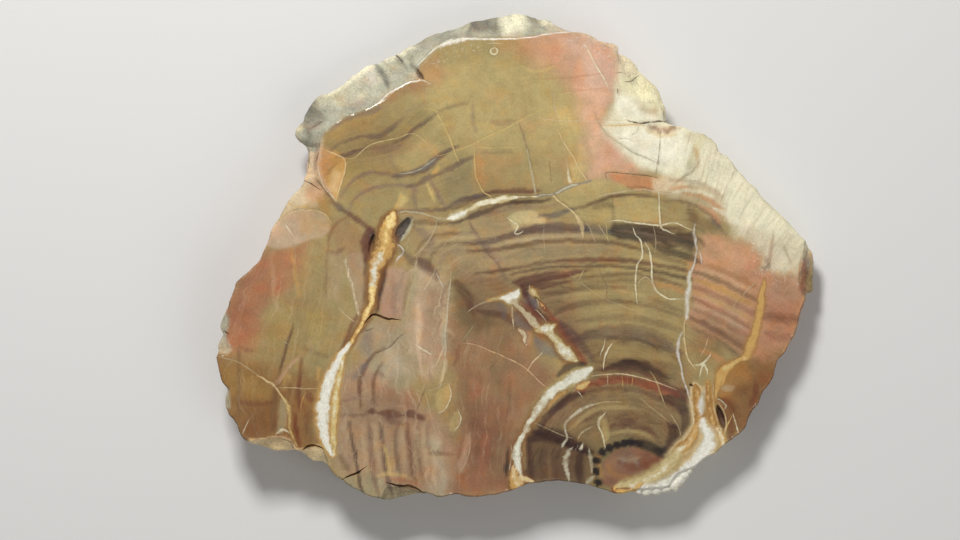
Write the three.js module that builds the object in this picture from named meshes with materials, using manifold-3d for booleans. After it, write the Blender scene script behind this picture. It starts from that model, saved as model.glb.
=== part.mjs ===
// A polished slice of petrified araucaria wood, lying on its sawn underside.
// Millimetres, +Z up. The origin is on the resting plane, under the middle of the outline.
// The slice is one piece of stone. It is sawn a little wedge-shaped: thick on the left, thin on the
// right. Round the polished face the edge is broken: flakes have come off and left lower facets.
import * as THREE from "three";
import Module from "manifold-3d";

const wasm = await Module();
wasm.setup();

// Driving dimensions
const thicknessLeft = 14; // at the left end of the polished face
const thicknessRight = 8; // at the right end
const halfWidth = 60; // from the middle to either end
const stationSpacing = 1.15; // along the edge, between two columns of the wall's mesh
const undercut = 3; // how far the foot of the wall lies inside the outline
const ribDepth = 0.9; // grain ribs that run down the wall
const ledgeDepth = 1.5; // larger broken ledges of the wall
const footBevel = { height: 0.7, inset: 0.8 }; // the sawn underside's worn edge
const keenRim = { inset: 0.45, drop: 0.9 }; // rounding of an unbroken rim
const crackDepth = 1.3;

// The edge, counter-clockwise from the right-hand chip. "outer" is the outline seen from above.
// Where a flake has come off, "rim" is the line at which the polished face ends, and "drop" is how
// far below the face the facet meets the wall.
const stretches = [
  {
    name: "right chip",
    drop: 2.6,
    outer: [[58.5, -7.6], [59.8, -7.1], [59.8, -5.7], [60.1, -3.7], [59.8, -1.9], [59.9, -0.5], [59.2, 1.6], [58.1, 2.9]],
    rim: [[57.8, -8.3], [57.1, -7], [56.8, -4.5], [57.3, -2], [57.5, 0.3], [57.9, 2.5]],
  },
  {
    name: "upper right rind",
    outer: [
      [58.1, 2.9], [56.7, 4.3], [55.1, 6.1], [53.5, 7.5], [51.4, 9.5], [49.3, 11.6], [48.7, 12.8], [47.8, 13.6],
      [45.9, 15.3], [43.9, 17.8], [42.1, 20], [40.2, 21.2], [40.1, 22.5], [38.2, 23.7], [37.5, 24.5],
      [36.1, 24.8], [35.2, 24.6], [34.1, 25.5], [31.5, 26], [30.2, 26.7],
    ],
  },
  {
    name: "cream flake",
    drop: 1.7,
    outer: [
      [30.2, 26.7], [30.6, 27.1], [29.5, 30.3], [28.8, 32.6], [28.1, 34], [26.7, 35.3], [25.2, 36.7],
      [24.2, 38], [23.1, 39.3], [22, 40.1], [20.4, 40.4],
    ],
    rim: [[29.8, 26.8], [29.4, 29], [27.2, 30.2], [25, 31], [23.6, 32.6], [22.6, 34.8], [21.6, 36.8], [20.8, 38.6], [20.2, 39.9]],
  },
  {
    name: "chipped top right",
    drop: 1.1,
    outer: [[20.4, 40.4], [20.4, 41.7], [19.5, 42.4], [17.9, 42.5], [16.5, 43.2], [15.4, 44], [14.2, 44.5], [11.9, 44.8]],
    rim: [[20.2, 39.9], [19.7, 41.1], [18.6, 41.7], [16.9, 42], [15.7, 42.8], [14.2, 43.7], [11.9, 44.5]],
  },
  {
    name: "broken shoulder, right half",
    drop: 5.2,
    outer: [
      [11.9, 44.8], [10.3, 45.1], [8.7, 45.7], [7.4, 46.7], [6.4, 47.4], [4.3, 47.6], [3.5, 48.2], [0.6, 48.9],
      [-2.2, 48], [-5.1, 47.7], [-8.3, 47.3], [-11.1, 46.1], [-14, 44.9], [-16.8, 44], [-19.7, 42.7], [-22.5, 41.3],
    ],
    rim: [
      [11.9, 44.5], [8, 44.4], [4, 43.8], [0, 43.5], [-4, 43.3], [-8, 43.4], [-11.9, 43.2], [-13.5, 42.5],
      [-15.8, 41.5], [-17.4, 40.1], [-18.4, 38.9], [-19.2, 38], [-19.6, 37.2],
    ],
  },
  {
    name: "broken shoulder, left half",
    drop: 6,
    outer: [
      [-22.5, 41.3], [-23.4, 40.5], [-24.3, 40.3], [-26.1, 39.9], [-27.7, 38.8], [-30, 38.1], [-31.8, 36.9],
      [-33.6, 35.6], [-35.5, 34.2], [-37.5, 32.6], [-40.1, 31.7], [-41.6, 30.3], [-42.3, 28.5], [-42.6, 26.9],
    ],
    rim: [
      [-19.6, 37.2], [-18.7, 35.3], [-21, 34.6], [-23.5, 33.5], [-25.5, 32.1], [-27.8, 30.1], [-30, 29.2],
      [-32.5, 28.2], [-35, 27], [-37, 25.5], [-38.3, 24.1],
    ],
  },
  {
    name: "left lump",
    drop: 4.6,
    outer: [[-42.6, 26.9], [-44.2, 25.3], [-44.4, 24.1], [-43.5, 22.8], [-42.1, 22.1], [-41.4, 20.7]],
    rim: [[-38.3, 24.1], [-38.7, 23], [-39, 21.8], [-39.2, 20.8]],
  },
  {
    name: "left rind strip",
    drop: 2.4,
    outer: [[-41.4, 20.7], [-41.6, 18.9], [-42.1, 16.4], [-42.6, 14.3]],
    rim: [[-39.2, 20.8], [-39.6, 19], [-39.9, 17], [-40.2, 15.6], [-42.1, 14.2]],
  },
  {
    name: "upper left edge",
    outer: [
      [-42.6, 14.3], [-44.2, 12.5], [-45.8, 10.4], [-47.1, 7.9], [-48.3, 6.1], [-49.2, 3.8], [-50.1, 1.6],
      [-50.8, 0.2], [-51.4, -1.6], [-52.4, -2.5], [-54, -3.9], [-55.4, -4.9], [-56, -5.7], [-56.5, -8], [-57.5, -10.5],
    ],
  },
  {
    name: "left chip, upper",
    drop: 1.8,
    outer: [[-57.5, -10.5], [-58.1, -11.7], [-58.9, -13], [-59.2, -15.1], [-58.6, -15.8]],
    rim: [[-57.1, -10.6], [-57.3, -12.5], [-57.5, -14.4], [-58, -15.7]],
  },
  {
    name: "left chip, lower",
    drop: 1.8,
    outer: [[-58.6, -15.8], [-59.2, -16.9], [-59.7, -18.1], [-59.5, -19], [-60.1, -20.2]],
    rim: [[-58, -15.7], [-57.6, -17.4], [-56.9, -18.8], [-57.5, -20], [-59.6, -20.3]],
  },
  { name: "left edge", outer: [[-60.1, -20.2], [-59.8, -21.9], [-59.4, -23.5], [-58.6, -25.2], [-57.6, -26.7]] },
  {
    name: "thin left chip",
    drop: 1.4,
    outer: [[-57.6, -26.7], [-58.3, -29.3], [-57.6, -30.9]],
    rim: [[-57.2, -26.7], [-57.4, -28.6], [-57.2, -30.8]],
  },
  {
    name: "lower left edge",
    outer: [[-57.6, -30.9], [-57.2, -32.2], [-55.8, -33.6], [-55.6, -34.7], [-54.9, -36.4], [-53.3, -37.6]],
  },
  {
    name: "bottom left flake",
    drop: 2.3,
    outer: [[-53.3, -37.6], [-51.9, -37.9], [-50.1, -38.4], [-48.9, -39.1], [-46.4, -39.3], [-43.9, -39.1]],
    rim: [[-53, -37.2], [-51.8, -36.8], [-50, -36.7], [-48.4, -36.3], [-46.6, -36.3], [-45.2, -37], [-44.2, -38.2], [-43.7, -38.8]],
  },
  {
    name: "bottom chip",
    drop: 2.4,
    outer: [[-43.9, -39.1], [-42.5, -39.6], [-41, -41.1], [-39.8, -41.9], [-38.9, -41.2], [-37.7, -42.1]],
    rim: [[-43.7, -38.8], [-42.3, -38.9], [-41, -38.4], [-39.8, -38.1], [-38.8, -38.7], [-38.1, -39.8], [-37.4, -41.8]],
  },
  {
    name: "bottom edge, left",
    outer: [[-37.7, -42.1], [-36.8, -43.6], [-35, -44.8], [-33.9, -45.9], [-31.4, -46.9], [-29.8, -48.2], [-27.2, -48.9]],
  },
  {
    name: "bottom flake",
    drop: 1.5,
    outer: [[-27.2, -48.9], [-24.3, -49.1], [-21.5, -48.4], [-19.7, -47.8], [-17.7, -47.5]],
    rim: [[-27.1, -48.5], [-26.3, -47], [-25.6, -45.7], [-23.5, -46.4], [-21.5, -46.4], [-19.2, -47.1], [-17.7, -47.2]],
  },
  {
    name: "bottom edge",
    outer: [
      [-17.7, -47.5], [-16.8, -48], [-15.4, -48.7], [-13.6, -48.3], [-12.2, -47.8], [-10.8, -48], [-7.2, -48.3],
      [-4.4, -48], [-2, -47.5], [1.2, -46.6], [3.3, -45.8], [5.8, -45.5], [8.3, -45.2], [11.5, -45.6],
      [14.7, -46.1], [17.2, -46.8], [19.4, -47.7], [21.5, -48], [22.9, -47.5],
    ],
  },
  {
    name: "crystal-crusted edge",
    drop: 2.2,
    outer: [
      [22.9, -47.5], [24.3, -47.7], [26.5, -48.2], [29.3, -47.8], [31.5, -47.1], [33.1, -46.2], [34.2, -45.2],
      [34.7, -43.6], [35.7, -42.7],
    ],
    rim: [[22.9, -47.1], [24.5, -46.8], [26.5, -46.7], [28.5, -46.6], [30.3, -46], [31.3, -44.6], [32.6, -43.4], [33.8, -42.9], [35.4, -42.4]],
  },
  {
    name: "lower right edge",
    outer: [
      [35.7, -42.7], [37, -41.6], [38.6, -40.4], [40.4, -39.8], [41.6, -38.6], [43, -37.3], [44.6, -36.1],
      [45.7, -34.7], [46.6, -32.9], [47.3, -31.3], [48.7, -29.7], [49.4, -28.1], [50.7, -26.1], [52, -24],
      [52.3, -22.6], [52.6, -21.3], [54.1, -19.7], [55.1, -17.6], [56, -15.4], [56.6, -13.7], [56.9, -11.7],
      [57.6, -10.3], [58.1, -8.7], [58.5, -7.6],
    ],
  },
];

// Rows of the edge's mesh: how far out from rim to outline, and how far down that is, as shares.
const facetRows = [[0, 0], [0.05, 0.1], [0.3, 0.34], [0.55, 0.6], [0.8, 0.84], [1, 1]];
const facetRoughness = 0.1; // hollows and swells on a broken facet, as a share of its drop
const wallRows = [0.14, 0.32, 0.52, 0.74, 1]; // down the wall, from the outline to the foot bevel

// Hollows in the polished face: middle, half length, half breadth, depth, and turn from +X.
const pits = [
  { name: "grey hollow beside the ochre vein", x: -22.6, y: 5.5, length: 2.3, breadth: 1.05, depth: 1.1, turn: 58 },
  { name: "hollow left of the ochre vein", x: -28.8, y: 2.2, length: 2.1, breadth: 0.65, depth: 1.2, turn: 76 },
  { name: "brown cavity in the corner vein", x: 41, y: -32.3, length: 2.4, breadth: 0.7, depth: 1.6, turn: -68 },
  { name: "pinhole at the top of the corner vein", x: 35.2, y: -26, length: 0.5, breadth: 0.35, depth: 0.7, turn: -40 },
  { name: "small hollow in the star vein", x: 4.4, y: -9.2, length: 1.2, breadth: 0.35, depth: 0.6, turn: -52 },
];

// Open cracks, as their lines on the face and their greatest width.
const cracks = [
  { width: 0.55, line: [[-30.3, -13.9], [-29.3, -12.5], [-28.6, -11.8], [-27.9, -11.7], [-27, -12.1], [-25.6, -12.7], [-24.2, -12.8], [-22.8, -13.2]] },
  { width: 0.5, line: [[-43.4, -39.4], [-42.2, -38.8], [-41.3, -38.3], [-40, -38], [-39.1, -38.3], [-38.2, -39.1]] },
  { width: 0.4, line: [[-34.9, -45], [-34.2, -44.5], [-32.9, -43.8], [-31.2, -43.1], [-29.7, -42]] },
  { width: 0.55, line: [[-26, -45.2], [-24.6, -45.7], [-23.2, -46.25], [-21.4, -46.2], [-19.4, -46.9], [-17.4, -47.7]] },
  { width: 0.5, line: [[-60, -15.3], [-58.3, -15.5], [-57.4, -15.9]] },
  { width: 0.4, line: [[-60.2, -18.2], [-59, -18.4], [-58.2, -18.8]] },
];

// Rounded lumps of quartz that crust the facet of the crystal-crusted edge: x, y, radius.
const crustLumps = [
  [24.6, -47.1, 0.9], [26.3, -47.3, 1.1], [28.1, -47.2, 1.2], [29.9, -46.8, 1.2], [31.4, -46.1, 1.3],
  [32.7, -45.2, 1.2], [33.5, -44.1, 1.1], [34.5, -43.1, 0.9], [30.9, -45.1, 0.8], [32.2, -44.1, 0.7],
];

// Height of the polished face over a point of the resting plane.
function faceHeight(x) {
  const middle = (thicknessLeft + thicknessRight) / 2;
  return middle + ((thicknessRight - thicknessLeft) / 2) * (x / halfWidth);
}

// Smooth random values from 0 to 1 that are the same on every run.
function roughness(u, v) {
  const corner = (i, j) => {
    const wave = Math.sin(i * 127.1 + j * 311.7) * 43758.5453;
    return wave - Math.floor(wave);
  };
  const i = Math.floor(u);
  const j = Math.floor(v);
  const fu = THREE.MathUtils.smoothstep(u - i, 0, 1);
  const fv = THREE.MathUtils.smoothstep(v - j, 0, 1);
  const near = THREE.MathUtils.lerp(corner(i, j), corner(i + 1, j), fu);
  const far = THREE.MathUtils.lerp(corner(i, j + 1), corner(i + 1, j + 1), fu);
  return THREE.MathUtils.lerp(near, far, fv);
}

function polyline(points) {
  const path = new THREE.CurvePath();
  for (let i = 1; i < points.length; i++) {
    path.add(new THREE.LineCurve(new THREE.Vector2(...points[i - 1]), new THREE.Vector2(...points[i])));
  }
  return path;
}

// A point moved towards the middle of the slice.
function towardsMiddle(point, distance) {
  return point.clone().multiplyScalar(1 - distance / point.length());
}

// Columns of the edge: each has its point on the outline, its point on the rim, and its drop.
function edgeStations() {
  const stations = [];
  for (const stretch of stretches) {
    const outer = polyline(stretch.outer);
    const rim = stretch.rim && polyline(stretch.rim);
    const count = Math.max(2, Math.round(outer.getLength() / stationSpacing));
    for (let i = 0; i < count; i++) {
      const outline = outer.getPointAt(i / count);
      stations.push({
        outline,
        rim: rim ? rim.getPointAt(i / count) : towardsMiddle(outline, keenRim.inset),
        drop: stretch.drop ?? keenRim.drop,
        broken: Boolean(rim),
      });
    }
  }
  return stations;
}

// One column of points, from the rim down over the facet and the wall to the underside.
function column({ outline, rim, drop, broken }) {
  const points = facetRows.map(([out, down]) => {
    const at = rim.clone().lerp(outline, out);
    const swell = (roughness(at.x / 2.3, at.y / 2.3) - 0.5) * facetRoughness * Math.sin(Math.PI * out);
    const share = broken ? down + swell : 1 - Math.sqrt(1 - out * out);
    return new THREE.Vector3(at.x, at.y, faceHeight(at.x) - drop * share);
  });
  const top = points.at(-1).z;
  const rib = ribDepth * roughness(outline.x / 1.7, outline.y / 1.7);
  for (const share of wallRows) {
    const ledge = ledgeDepth * roughness(outline.x / 8 + share * 2.5, outline.y / 8 - share * 1.5);
    const inset = undercut * share + (rib + ledge) * Math.min(1, share * 2.5);
    const at = towardsMiddle(outline, inset);
    points.push(new THREE.Vector3(at.x, at.y, THREE.MathUtils.lerp(top, footBevel.height, share)));
  }
  const foot = points.at(-1);
  const sawn = towardsMiddle(new THREE.Vector2(foot.x, foot.y), footBevel.inset);
  points.push(new THREE.Vector3(sawn.x, sawn.y, 0));
  return points;
}

// The closed body: the columns joined all the way round, with the two sawn faces filled in.
function bodyGeometry() {
  const columns = edgeStations().map(column);
  const rows = columns[0].length;
  const index = [];
  columns.forEach((_, i) => {
    const next = (i + 1) % columns.length;
    for (let row = 0; row + 1 < rows; row++) {
      const [a, b] = [i * rows + row, i * rows + row + 1];
      const [c, d] = [next * rows + row + 1, next * rows + row];
      index.push(a, b, c, a, c, d);
    }
  });
  const face = (row) => {
    const ring = columns.map((points) => new THREE.Vector2(points[row].x, points[row].y));
    return THREE.ShapeUtils.triangulateShape(ring, []).map((corners) => corners.map((i) => i * rows + row));
  };
  face(0).forEach(([a, b, c]) => index.push(a, b, c));
  face(rows - 1).forEach(([a, b, c]) => index.push(a, c, b));
  return new THREE.BufferGeometry().setFromPoints(columns.flat()).setIndex(index);
}

// A small rough stone-like ball, for hollows and lumps.
function ball(radius, detail) {
  const loose = new THREE.IcosahedronGeometry(radius, detail);
  const corners = [];
  const index = [];
  const position = loose.getAttribute("position");
  for (let i = 0; i < position.count; i++) {
    const point = new THREE.Vector3().fromBufferAttribute(position, i);
    let same = corners.findIndex((corner) => corner.distanceTo(point) < radius * 1e-3);
    if (same < 0) same = corners.push(point) - 1;
    index.push(same);
  }
  return new THREE.BufferGeometry().setFromPoints(corners).setIndex(index);
}

function pitGeometry({ x, y, length, breadth, depth, turn }) {
  return ball(1, 1)
    .scale(length, breadth, depth)
    .rotateZ(THREE.MathUtils.degToRad(turn))
    .translate(x, y, faceHeight(x));
}

// A crack's cut: a thin upright slab along its line, widest in the middle and pointed at its ends.
function crackGeometry({ width, line }) {
  const path = polyline(line);
  const steps = 2 * line.length;
  const left = [];
  const right = [];
  for (let i = 0; i <= steps; i++) {
    const at = path.getPointAt(i / steps);
    const along = path.getTangentAt(Math.min(0.999, Math.max(0.001, i / steps)));
    const half = (width / 2) * Math.max(0.12, Math.sin((Math.PI * i) / steps));
    const side = new THREE.Vector2(-along.y, along.x).multiplyScalar(half);
    left.push(at.clone().add(side));
    right.unshift(at.clone().sub(side));
  }
  const floor = faceHeight(line[0][0]) - crackDepth;
  const cut = new THREE.ExtrudeGeometry(new THREE.Shape([...left, ...right]), {
    depth: crackDepth + 3,
    bevelEnabled: false,
  });
  return cut.translate(0, 0, floor);
}

function lumpGeometry([x, y, radius]) {
  const crust = faceHeight(x) - 0.35 - radius;
  return ball(radius, 1).scale(1, 1, 0.9).translate(x, y, crust);
}

// A closed geometry as a manifold-3d solid, its equal corners merged.
function solidOf(geometry) {
  const loose = geometry.index ? geometry.toNonIndexed() : geometry;
  const position = loose.getAttribute("position");
  const found = new Map();
  const corners = [];
  const triangles = [];
  for (let i = 0; i < position.count; i++) {
    const point = [position.getX(i), position.getY(i), position.getZ(i)];
    const key = point.map((value) => value.toFixed(4)).join();
    if (!found.has(key)) {
      found.set(key, corners.length / 3);
      corners.push(...point);
    }
    triangles.push(found.get(key));
  }
  return new wasm.Manifold(
    new wasm.Mesh({ numProp: 3, vertProperties: new Float32Array(corners), triVerts: new Uint32Array(triangles) }),
  );
}

function geometryOf(solid) {
  const mesh = solid.getMesh();
  return new THREE.BufferGeometry()
    .setAttribute("position", new THREE.BufferAttribute(mesh.vertProperties, 3))
    .setIndex(new THREE.BufferAttribute(mesh.triVerts, 1));
}

let stone = solidOf(bodyGeometry());
for (const lump of crustLumps) stone = stone.add(solidOf(lumpGeometry(lump)));
for (const pit of pits) stone = stone.subtract(solidOf(pitGeometry(pit)));
for (const crack of cracks) stone = stone.subtract(solidOf(crackGeometry(crack)));

const polishedStone = new THREE.MeshStandardMaterial({ color: 0xa58a5c, roughness: 0.25, metalness: 0 });
const slice = new THREE.Mesh(geometryOf(stone), polishedStone);
slice.name = "petrified_slice";

const part = new THREE.Group();
part.add(slice);
export default part;
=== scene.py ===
import math
import bpy
import numpy as np
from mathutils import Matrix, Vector, kdtree


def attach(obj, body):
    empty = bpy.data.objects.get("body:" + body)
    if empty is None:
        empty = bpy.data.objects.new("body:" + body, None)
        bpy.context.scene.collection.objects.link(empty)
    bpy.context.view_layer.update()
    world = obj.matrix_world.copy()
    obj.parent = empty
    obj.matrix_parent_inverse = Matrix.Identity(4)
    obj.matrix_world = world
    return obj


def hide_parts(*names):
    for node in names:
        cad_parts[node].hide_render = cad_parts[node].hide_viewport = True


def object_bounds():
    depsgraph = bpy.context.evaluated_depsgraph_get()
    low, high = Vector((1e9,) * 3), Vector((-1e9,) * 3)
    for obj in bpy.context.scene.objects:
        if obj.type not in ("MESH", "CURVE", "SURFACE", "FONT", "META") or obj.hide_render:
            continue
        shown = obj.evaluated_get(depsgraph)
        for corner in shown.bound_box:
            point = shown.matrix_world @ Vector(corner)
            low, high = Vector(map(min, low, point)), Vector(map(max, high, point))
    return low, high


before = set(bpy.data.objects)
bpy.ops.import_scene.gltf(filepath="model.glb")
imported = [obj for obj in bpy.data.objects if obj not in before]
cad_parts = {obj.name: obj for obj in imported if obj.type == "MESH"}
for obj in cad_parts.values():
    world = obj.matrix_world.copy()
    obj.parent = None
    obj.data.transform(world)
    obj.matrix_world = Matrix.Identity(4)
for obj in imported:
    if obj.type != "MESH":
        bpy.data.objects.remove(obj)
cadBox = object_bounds()  # the slice's box before anything is added
mm = 0.001

# the slice as sawn: lengths in mm
stone = {
    "node": "petrified_slice",
    "piece": "petrified_wood_slice",
    "slot": "petrified_wood",
    "faceHeight": 11.0,  # polished face above the table, at the middle
    "faceFall": 0.05,  # how much it falls for each mm towards +X
    "flatWithin": 0.003,  # corners this near to a flat face lie on it
    "weld": 0.002,  # corners nearer to each other than this become one
    "facePitch": 0.4,  # grid of the polished face
    "solePitch": 1.8,  # grid of the sawn underside
    "gridGap": 0.8,  # the grids stay this many of their steps away from the edge
    "loopGap": 2,  # and edges nearer than this many steps are joined to them
    "wallCuts": 2,  # each wall face is cut this many times
    "edgeWobble": ((0.22, 2.3), (0.1, 0.8)),  # how far the edge strays, and over what length
    "wallSmoothing": 2,
    "smoothAngle": 62,  # degrees: sharper edges than this stay sharp
    # broken stone: how deep it is roughened and the grain of it, and how far from the two flat
    # faces the roughness starts and is full
    "roughening": ((0.45, 3.2), (0.12, 0.7)),
    "roughFrom": (0.1, 1.0),
    # the polish rounds the face off at its edge: how far and over what width; how much of that is
    # even, how much isn't, and over what length it changes; and between which x the wear begins
    "rimWear": (0.05, 0.45),
    "rimUneven": (0.6, 0.6, 3.5),
    "rimSeed": 60,
    "rimWornFrom": (-31, -27),
}


def faceLevel(x):
    return stone["faceHeight"] - stone["faceFall"] * x


def smoothStep(low, high, value):
    share = np.clip((value - low) / (high - low), 0, 1)
    return share * share * (3 - 2 * share)


def softNoise(places, cell, seed):
    # even random swells from -1 to 1 over the face, a new one every cell mm
    size = 64
    table = np.random.default_rng(seed).uniform(-1, 1, (size, size))
    whole = np.floor(places / cell).astype(int)
    share = places / cell - whole
    share = share * share * (3 - 2 * share)
    corners = [table[(whole[:, 0] + i) % size, (whole[:, 1] + j) % size] for i in (0, 1) for j in (0, 1)]
    near = corners[0] + (corners[1] - corners[0]) * share[:, 1]
    far = corners[2] + (corners[3] - corners[2]) * share[:, 1]
    return near + (far - near) * share[:, 0]


# mesh helpers
def activate(piece):
    bpy.ops.object.select_all(action="DESELECT")
    piece.select_set(True)
    bpy.context.view_layer.objects.active = piece


def pointsOf(piece):
    flat = np.empty(len(piece.data.vertices) * 3)
    piece.data.vertices.foreach_get("co", flat)
    return flat.reshape(-1, 3) / mm


def setPoints(piece, points):
    piece.data.vertices.foreach_set("co", (points * mm).ravel())
    piece.data.update()


def editSelected(piece, kind, chosen):
    # opens edit mode with only these vertices, edges or faces selected
    activate(piece)
    mesh = piece.data
    parts = {"VERT": mesh.vertices, "EDGE": mesh.edges, "FACE": mesh.polygons}
    for name, group in parts.items():
        group.foreach_set("select", chosen if name == kind else np.zeros(len(group), bool))
    bpy.context.scene.tool_settings.mesh_select_mode = [name == kind for name in parts]
    bpy.ops.object.mode_set(mode="EDIT")


def leaveEdit():
    bpy.ops.object.mode_set(mode="OBJECT")


def onFlat(points, up):
    level = faceLevel(points[:, 0]) if up else 0
    return abs(points[:, 2] - level) < stone["flatWithin"]


def flatFaces(piece, up):
    # faces whose corners all lie on the polished plane (up) or on the table
    on = onFlat(pointsOf(piece), up)
    return np.array([on[list(face.vertices)].all() for face in piece.data.polygons])


def openEdges(piece):
    # the vertices at the ends of each edge that has a single face
    mesh = piece.data
    used = np.empty(len(mesh.loops), int)
    mesh.loops.foreach_get("edge_index", used)
    ends = np.empty(len(mesh.edges) * 2, int)
    mesh.edges.foreach_get("vertices", ends)
    single = np.bincount(used, minlength=len(mesh.edges)) == 1
    return ends.reshape(-1, 2)[single]


def treeOf(places):
    tree = kdtree.KDTree(len(places))
    for i, (x, y) in enumerate(places):
        tree.insert((x, y, 0), i)
    tree.balance()
    return tree


def sideBySide(places, ends, reach):
    # numbers the open loops: loops that run closer together than reach get one number
    rim = np.unique(ends)
    group = {int(v): int(v) for v in rim}

    def root(v):
        while group[v] != v:
            group[v] = v = group[group[v]]
        return v

    tree = treeOf(places[rim])
    for a, b in ends:
        group[root(int(a))] = root(int(b))
    for v in rim:
        for _, other, _ in tree.find_range((*places[v], 0), reach):
            group[root(int(v))] = root(int(rim[other]))
    return np.array([root(int(a)) for a, _ in ends])


def insideOf(places, starts, stops):
    inside = np.zeros(len(places), bool)
    for (ax, ay), (bx, by) in zip(starts, stops):
        if ay != by:
            crosses = (ay > places[:, 1]) != (by > places[:, 1])
            inside ^= crosses & (places[:, 0] < ax + (places[:, 1] - ay) * (bx - ax) / (by - ay))
    return inside


def relayFace(piece, up, pitch):
    # takes a flat face off and lays it again as an even grid, joined all round to the edges left open
    editSelected(piece, "FACE", flatFaces(piece, up))
    bpy.ops.mesh.delete(type="FACE")
    leaveEdit()
    points = pointsOf(piece)[:, :2]
    ends = openEdges(piece)
    low, high = points.min(0), points.max(0)
    cells = np.ceil((high - low) / pitch).astype(int)
    bpy.ops.object.select_all(action="DESELECT")
    bpy.ops.mesh.primitive_grid_add(x_subdivisions=int(cells[0]), y_subdivisions=int(cells[1]), size=1,
                                    location=(*((low + high) / 2 * mm), 0))
    grid = bpy.context.object
    grid.scale = (*(cells * pitch * mm), 1)
    bpy.ops.object.transform_apply(location=True, scale=True)
    places = pointsOf(grid)
    places[:, 2] = faceLevel(places[:, 0]) if up else 0
    setPoints(grid, places)
    rim = treeOf(points[ends[:, 0]])
    away = np.array([rim.find((x, y, 0))[2] for x, y, _ in places])
    inside = insideOf(places, points[ends[:, 0]], points[ends[:, 1]])
    editSelected(grid, "VERT", ~(inside & (away > pitch * stone["gridGap"])))
    bpy.ops.mesh.delete(type="VERT")
    bpy.ops.mesh.select_all(action="SELECT")
    bpy.ops.mesh.delete_loose(use_verts=True, use_edges=True, use_faces=False)
    leaveEdit()
    activate(piece)
    grid.select_set(True)
    bpy.ops.object.join()
    ends = openEdges(piece)
    loops = sideBySide(pointsOf(piece)[:, :2], ends, pitch * stone["loopGap"])
    for loop in np.unique(loops):
        ours = {tuple(sorted(pair)) for pair in ends[loops == loop].tolist()}
        chosen = np.array([tuple(sorted(edge.vertices)) in ours for edge in piece.data.edges])
        editSelected(piece, "EDGE", chosen)
        bpy.ops.mesh.fill(use_beauty=True)
        leaveEdit()


def weighBroken(piece):
    # a vertex group of the broken stone: none on the two flat faces, full a little away from them
    points = pointsOf(piece)
    below = faceLevel(points[:, 0]) - points[:, 2]
    weight = smoothStep(*stone["roughFrom"], below) * smoothStep(*stone["roughFrom"], points[:, 2])
    group = piece.vertex_groups.new(name="broken")
    for i in np.nonzero(weight > 0)[0]:
        group.add([int(i)], float(weight[i]), "REPLACE")


def roughen(piece, depth, grain, number):
    texture = bpy.data.textures.new(f"broken{number}", "CLOUDS")
    texture.noise_scale = grain * mm
    texture.noise_depth = 2
    press = piece.modifiers.new(f"roughen{number}", "DISPLACE")
    press.texture = texture
    press.texture_coords = "LOCAL"
    press.vertex_group = "broken"
    press.mid_level = 0.5
    press.strength = -depth * mm
    activate(piece)
    bpy.ops.object.modifier_apply(modifier=press.name)


def slotFaces(piece):
    # the material of each face: 0 polished, 1 broken, 2 sawn
    polished = flatFaces(piece, True)
    slots = np.ones(len(polished), np.int32)
    slots[polished] = 0
    slots[flatFaces(piece, False)] = 2
    piece.data.polygons.foreach_set("material_index", slots)
    return slots


def wearRim(piece, slots):
    # the polish rounds the face off a little towards its edge
    points = pointsOf(piece)
    inner, outer = np.zeros((2, len(points)), bool)
    for face, slot in zip(piece.data.polygons, slots):
        (inner if slot == 0 else outer)[list(face.vertices)] = True
    rim = treeOf(points[inner & outer][:, :2])
    fall, width = stone["rimWear"]
    even, change, cell = stone["rimUneven"]
    uneven = even + change * softNoise(points[:, :2], cell, stone["rimSeed"])
    worn = smoothStep(*stone["rimWornFrom"], points[:, 0])
    for i in np.nonzero(inner)[0]:
        away = rim.find((points[i, 0], points[i, 1], 0))[2]
        points[i, 2] -= fall * uneven[i] * worn[i] * float(1 - smoothStep(0, width, away))
    setPoints(piece, points)


def wobbleEdge(piece):
    # the edge strays a little from its straight stretches
    points = pointsOf(piece)
    onFace = onFlat(points, True)
    for number, (stray, cell) in enumerate(stone["edgeWobble"]):
        for axis in (0, 1):
            points[:, axis] += stray * softNoise(points[:, :2], cell, 10 * number + axis)
    points[onFace, 2] = faceLevel(points[onFace, 0])
    setPoints(piece, points)


def sawSlice():
    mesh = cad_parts[stone["node"]].data.copy()
    piece = bpy.data.objects.new(stone["piece"], mesh)
    bpy.context.scene.collection.objects.link(piece)
    activate(piece)
    mesh.materials.clear()
    bpy.ops.object.mode_set(mode="EDIT")
    bpy.ops.mesh.select_all(action="SELECT")
    bpy.ops.mesh.remove_doubles(threshold=stone["weld"] * mm)
    leaveEdit()
    bpy.ops.mesh.customdata_custom_splitnormals_clear()
    editSelected(piece, "FACE", ~(flatFaces(piece, True) | flatFaces(piece, False)))
    bpy.ops.mesh.subdivide(number_cuts=stone["wallCuts"])
    leaveEdit()
    wobbleEdge(piece)
    relayFace(piece, True, stone["facePitch"])
    relayFace(piece, False, stone["solePitch"])
    points = pointsOf(piece)
    editSelected(piece, "VERT", ~(onFlat(points, True) | onFlat(points, False)))
    bpy.ops.mesh.vertices_smooth(factor=0.5, repeat=stone["wallSmoothing"])
    leaveEdit()
    weighBroken(piece)
    wearRim(piece, slotFaces(piece))
    for number, (depth, grain) in enumerate(stone["roughening"]):
        roughen(piece, depth, grain, number)
    low, high = (np.array(corner) / mm for corner in cadBox)
    setPoints(piece, np.clip(pointsOf(piece), low, high))
    editSelected(piece, "FACE", np.ones(len(mesh.polygons), bool))
    bpy.ops.mesh.normals_make_consistent(inside=False)
    leaveEdit()
    bpy.ops.object.shade_smooth_by_angle(angle=math.radians(stone["smoothAngle"]))
    return piece


piece = sawSlice()
print("sawn:", len(piece.data.vertices), "corners,", len(openEdges(piece)), "open edges")


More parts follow.
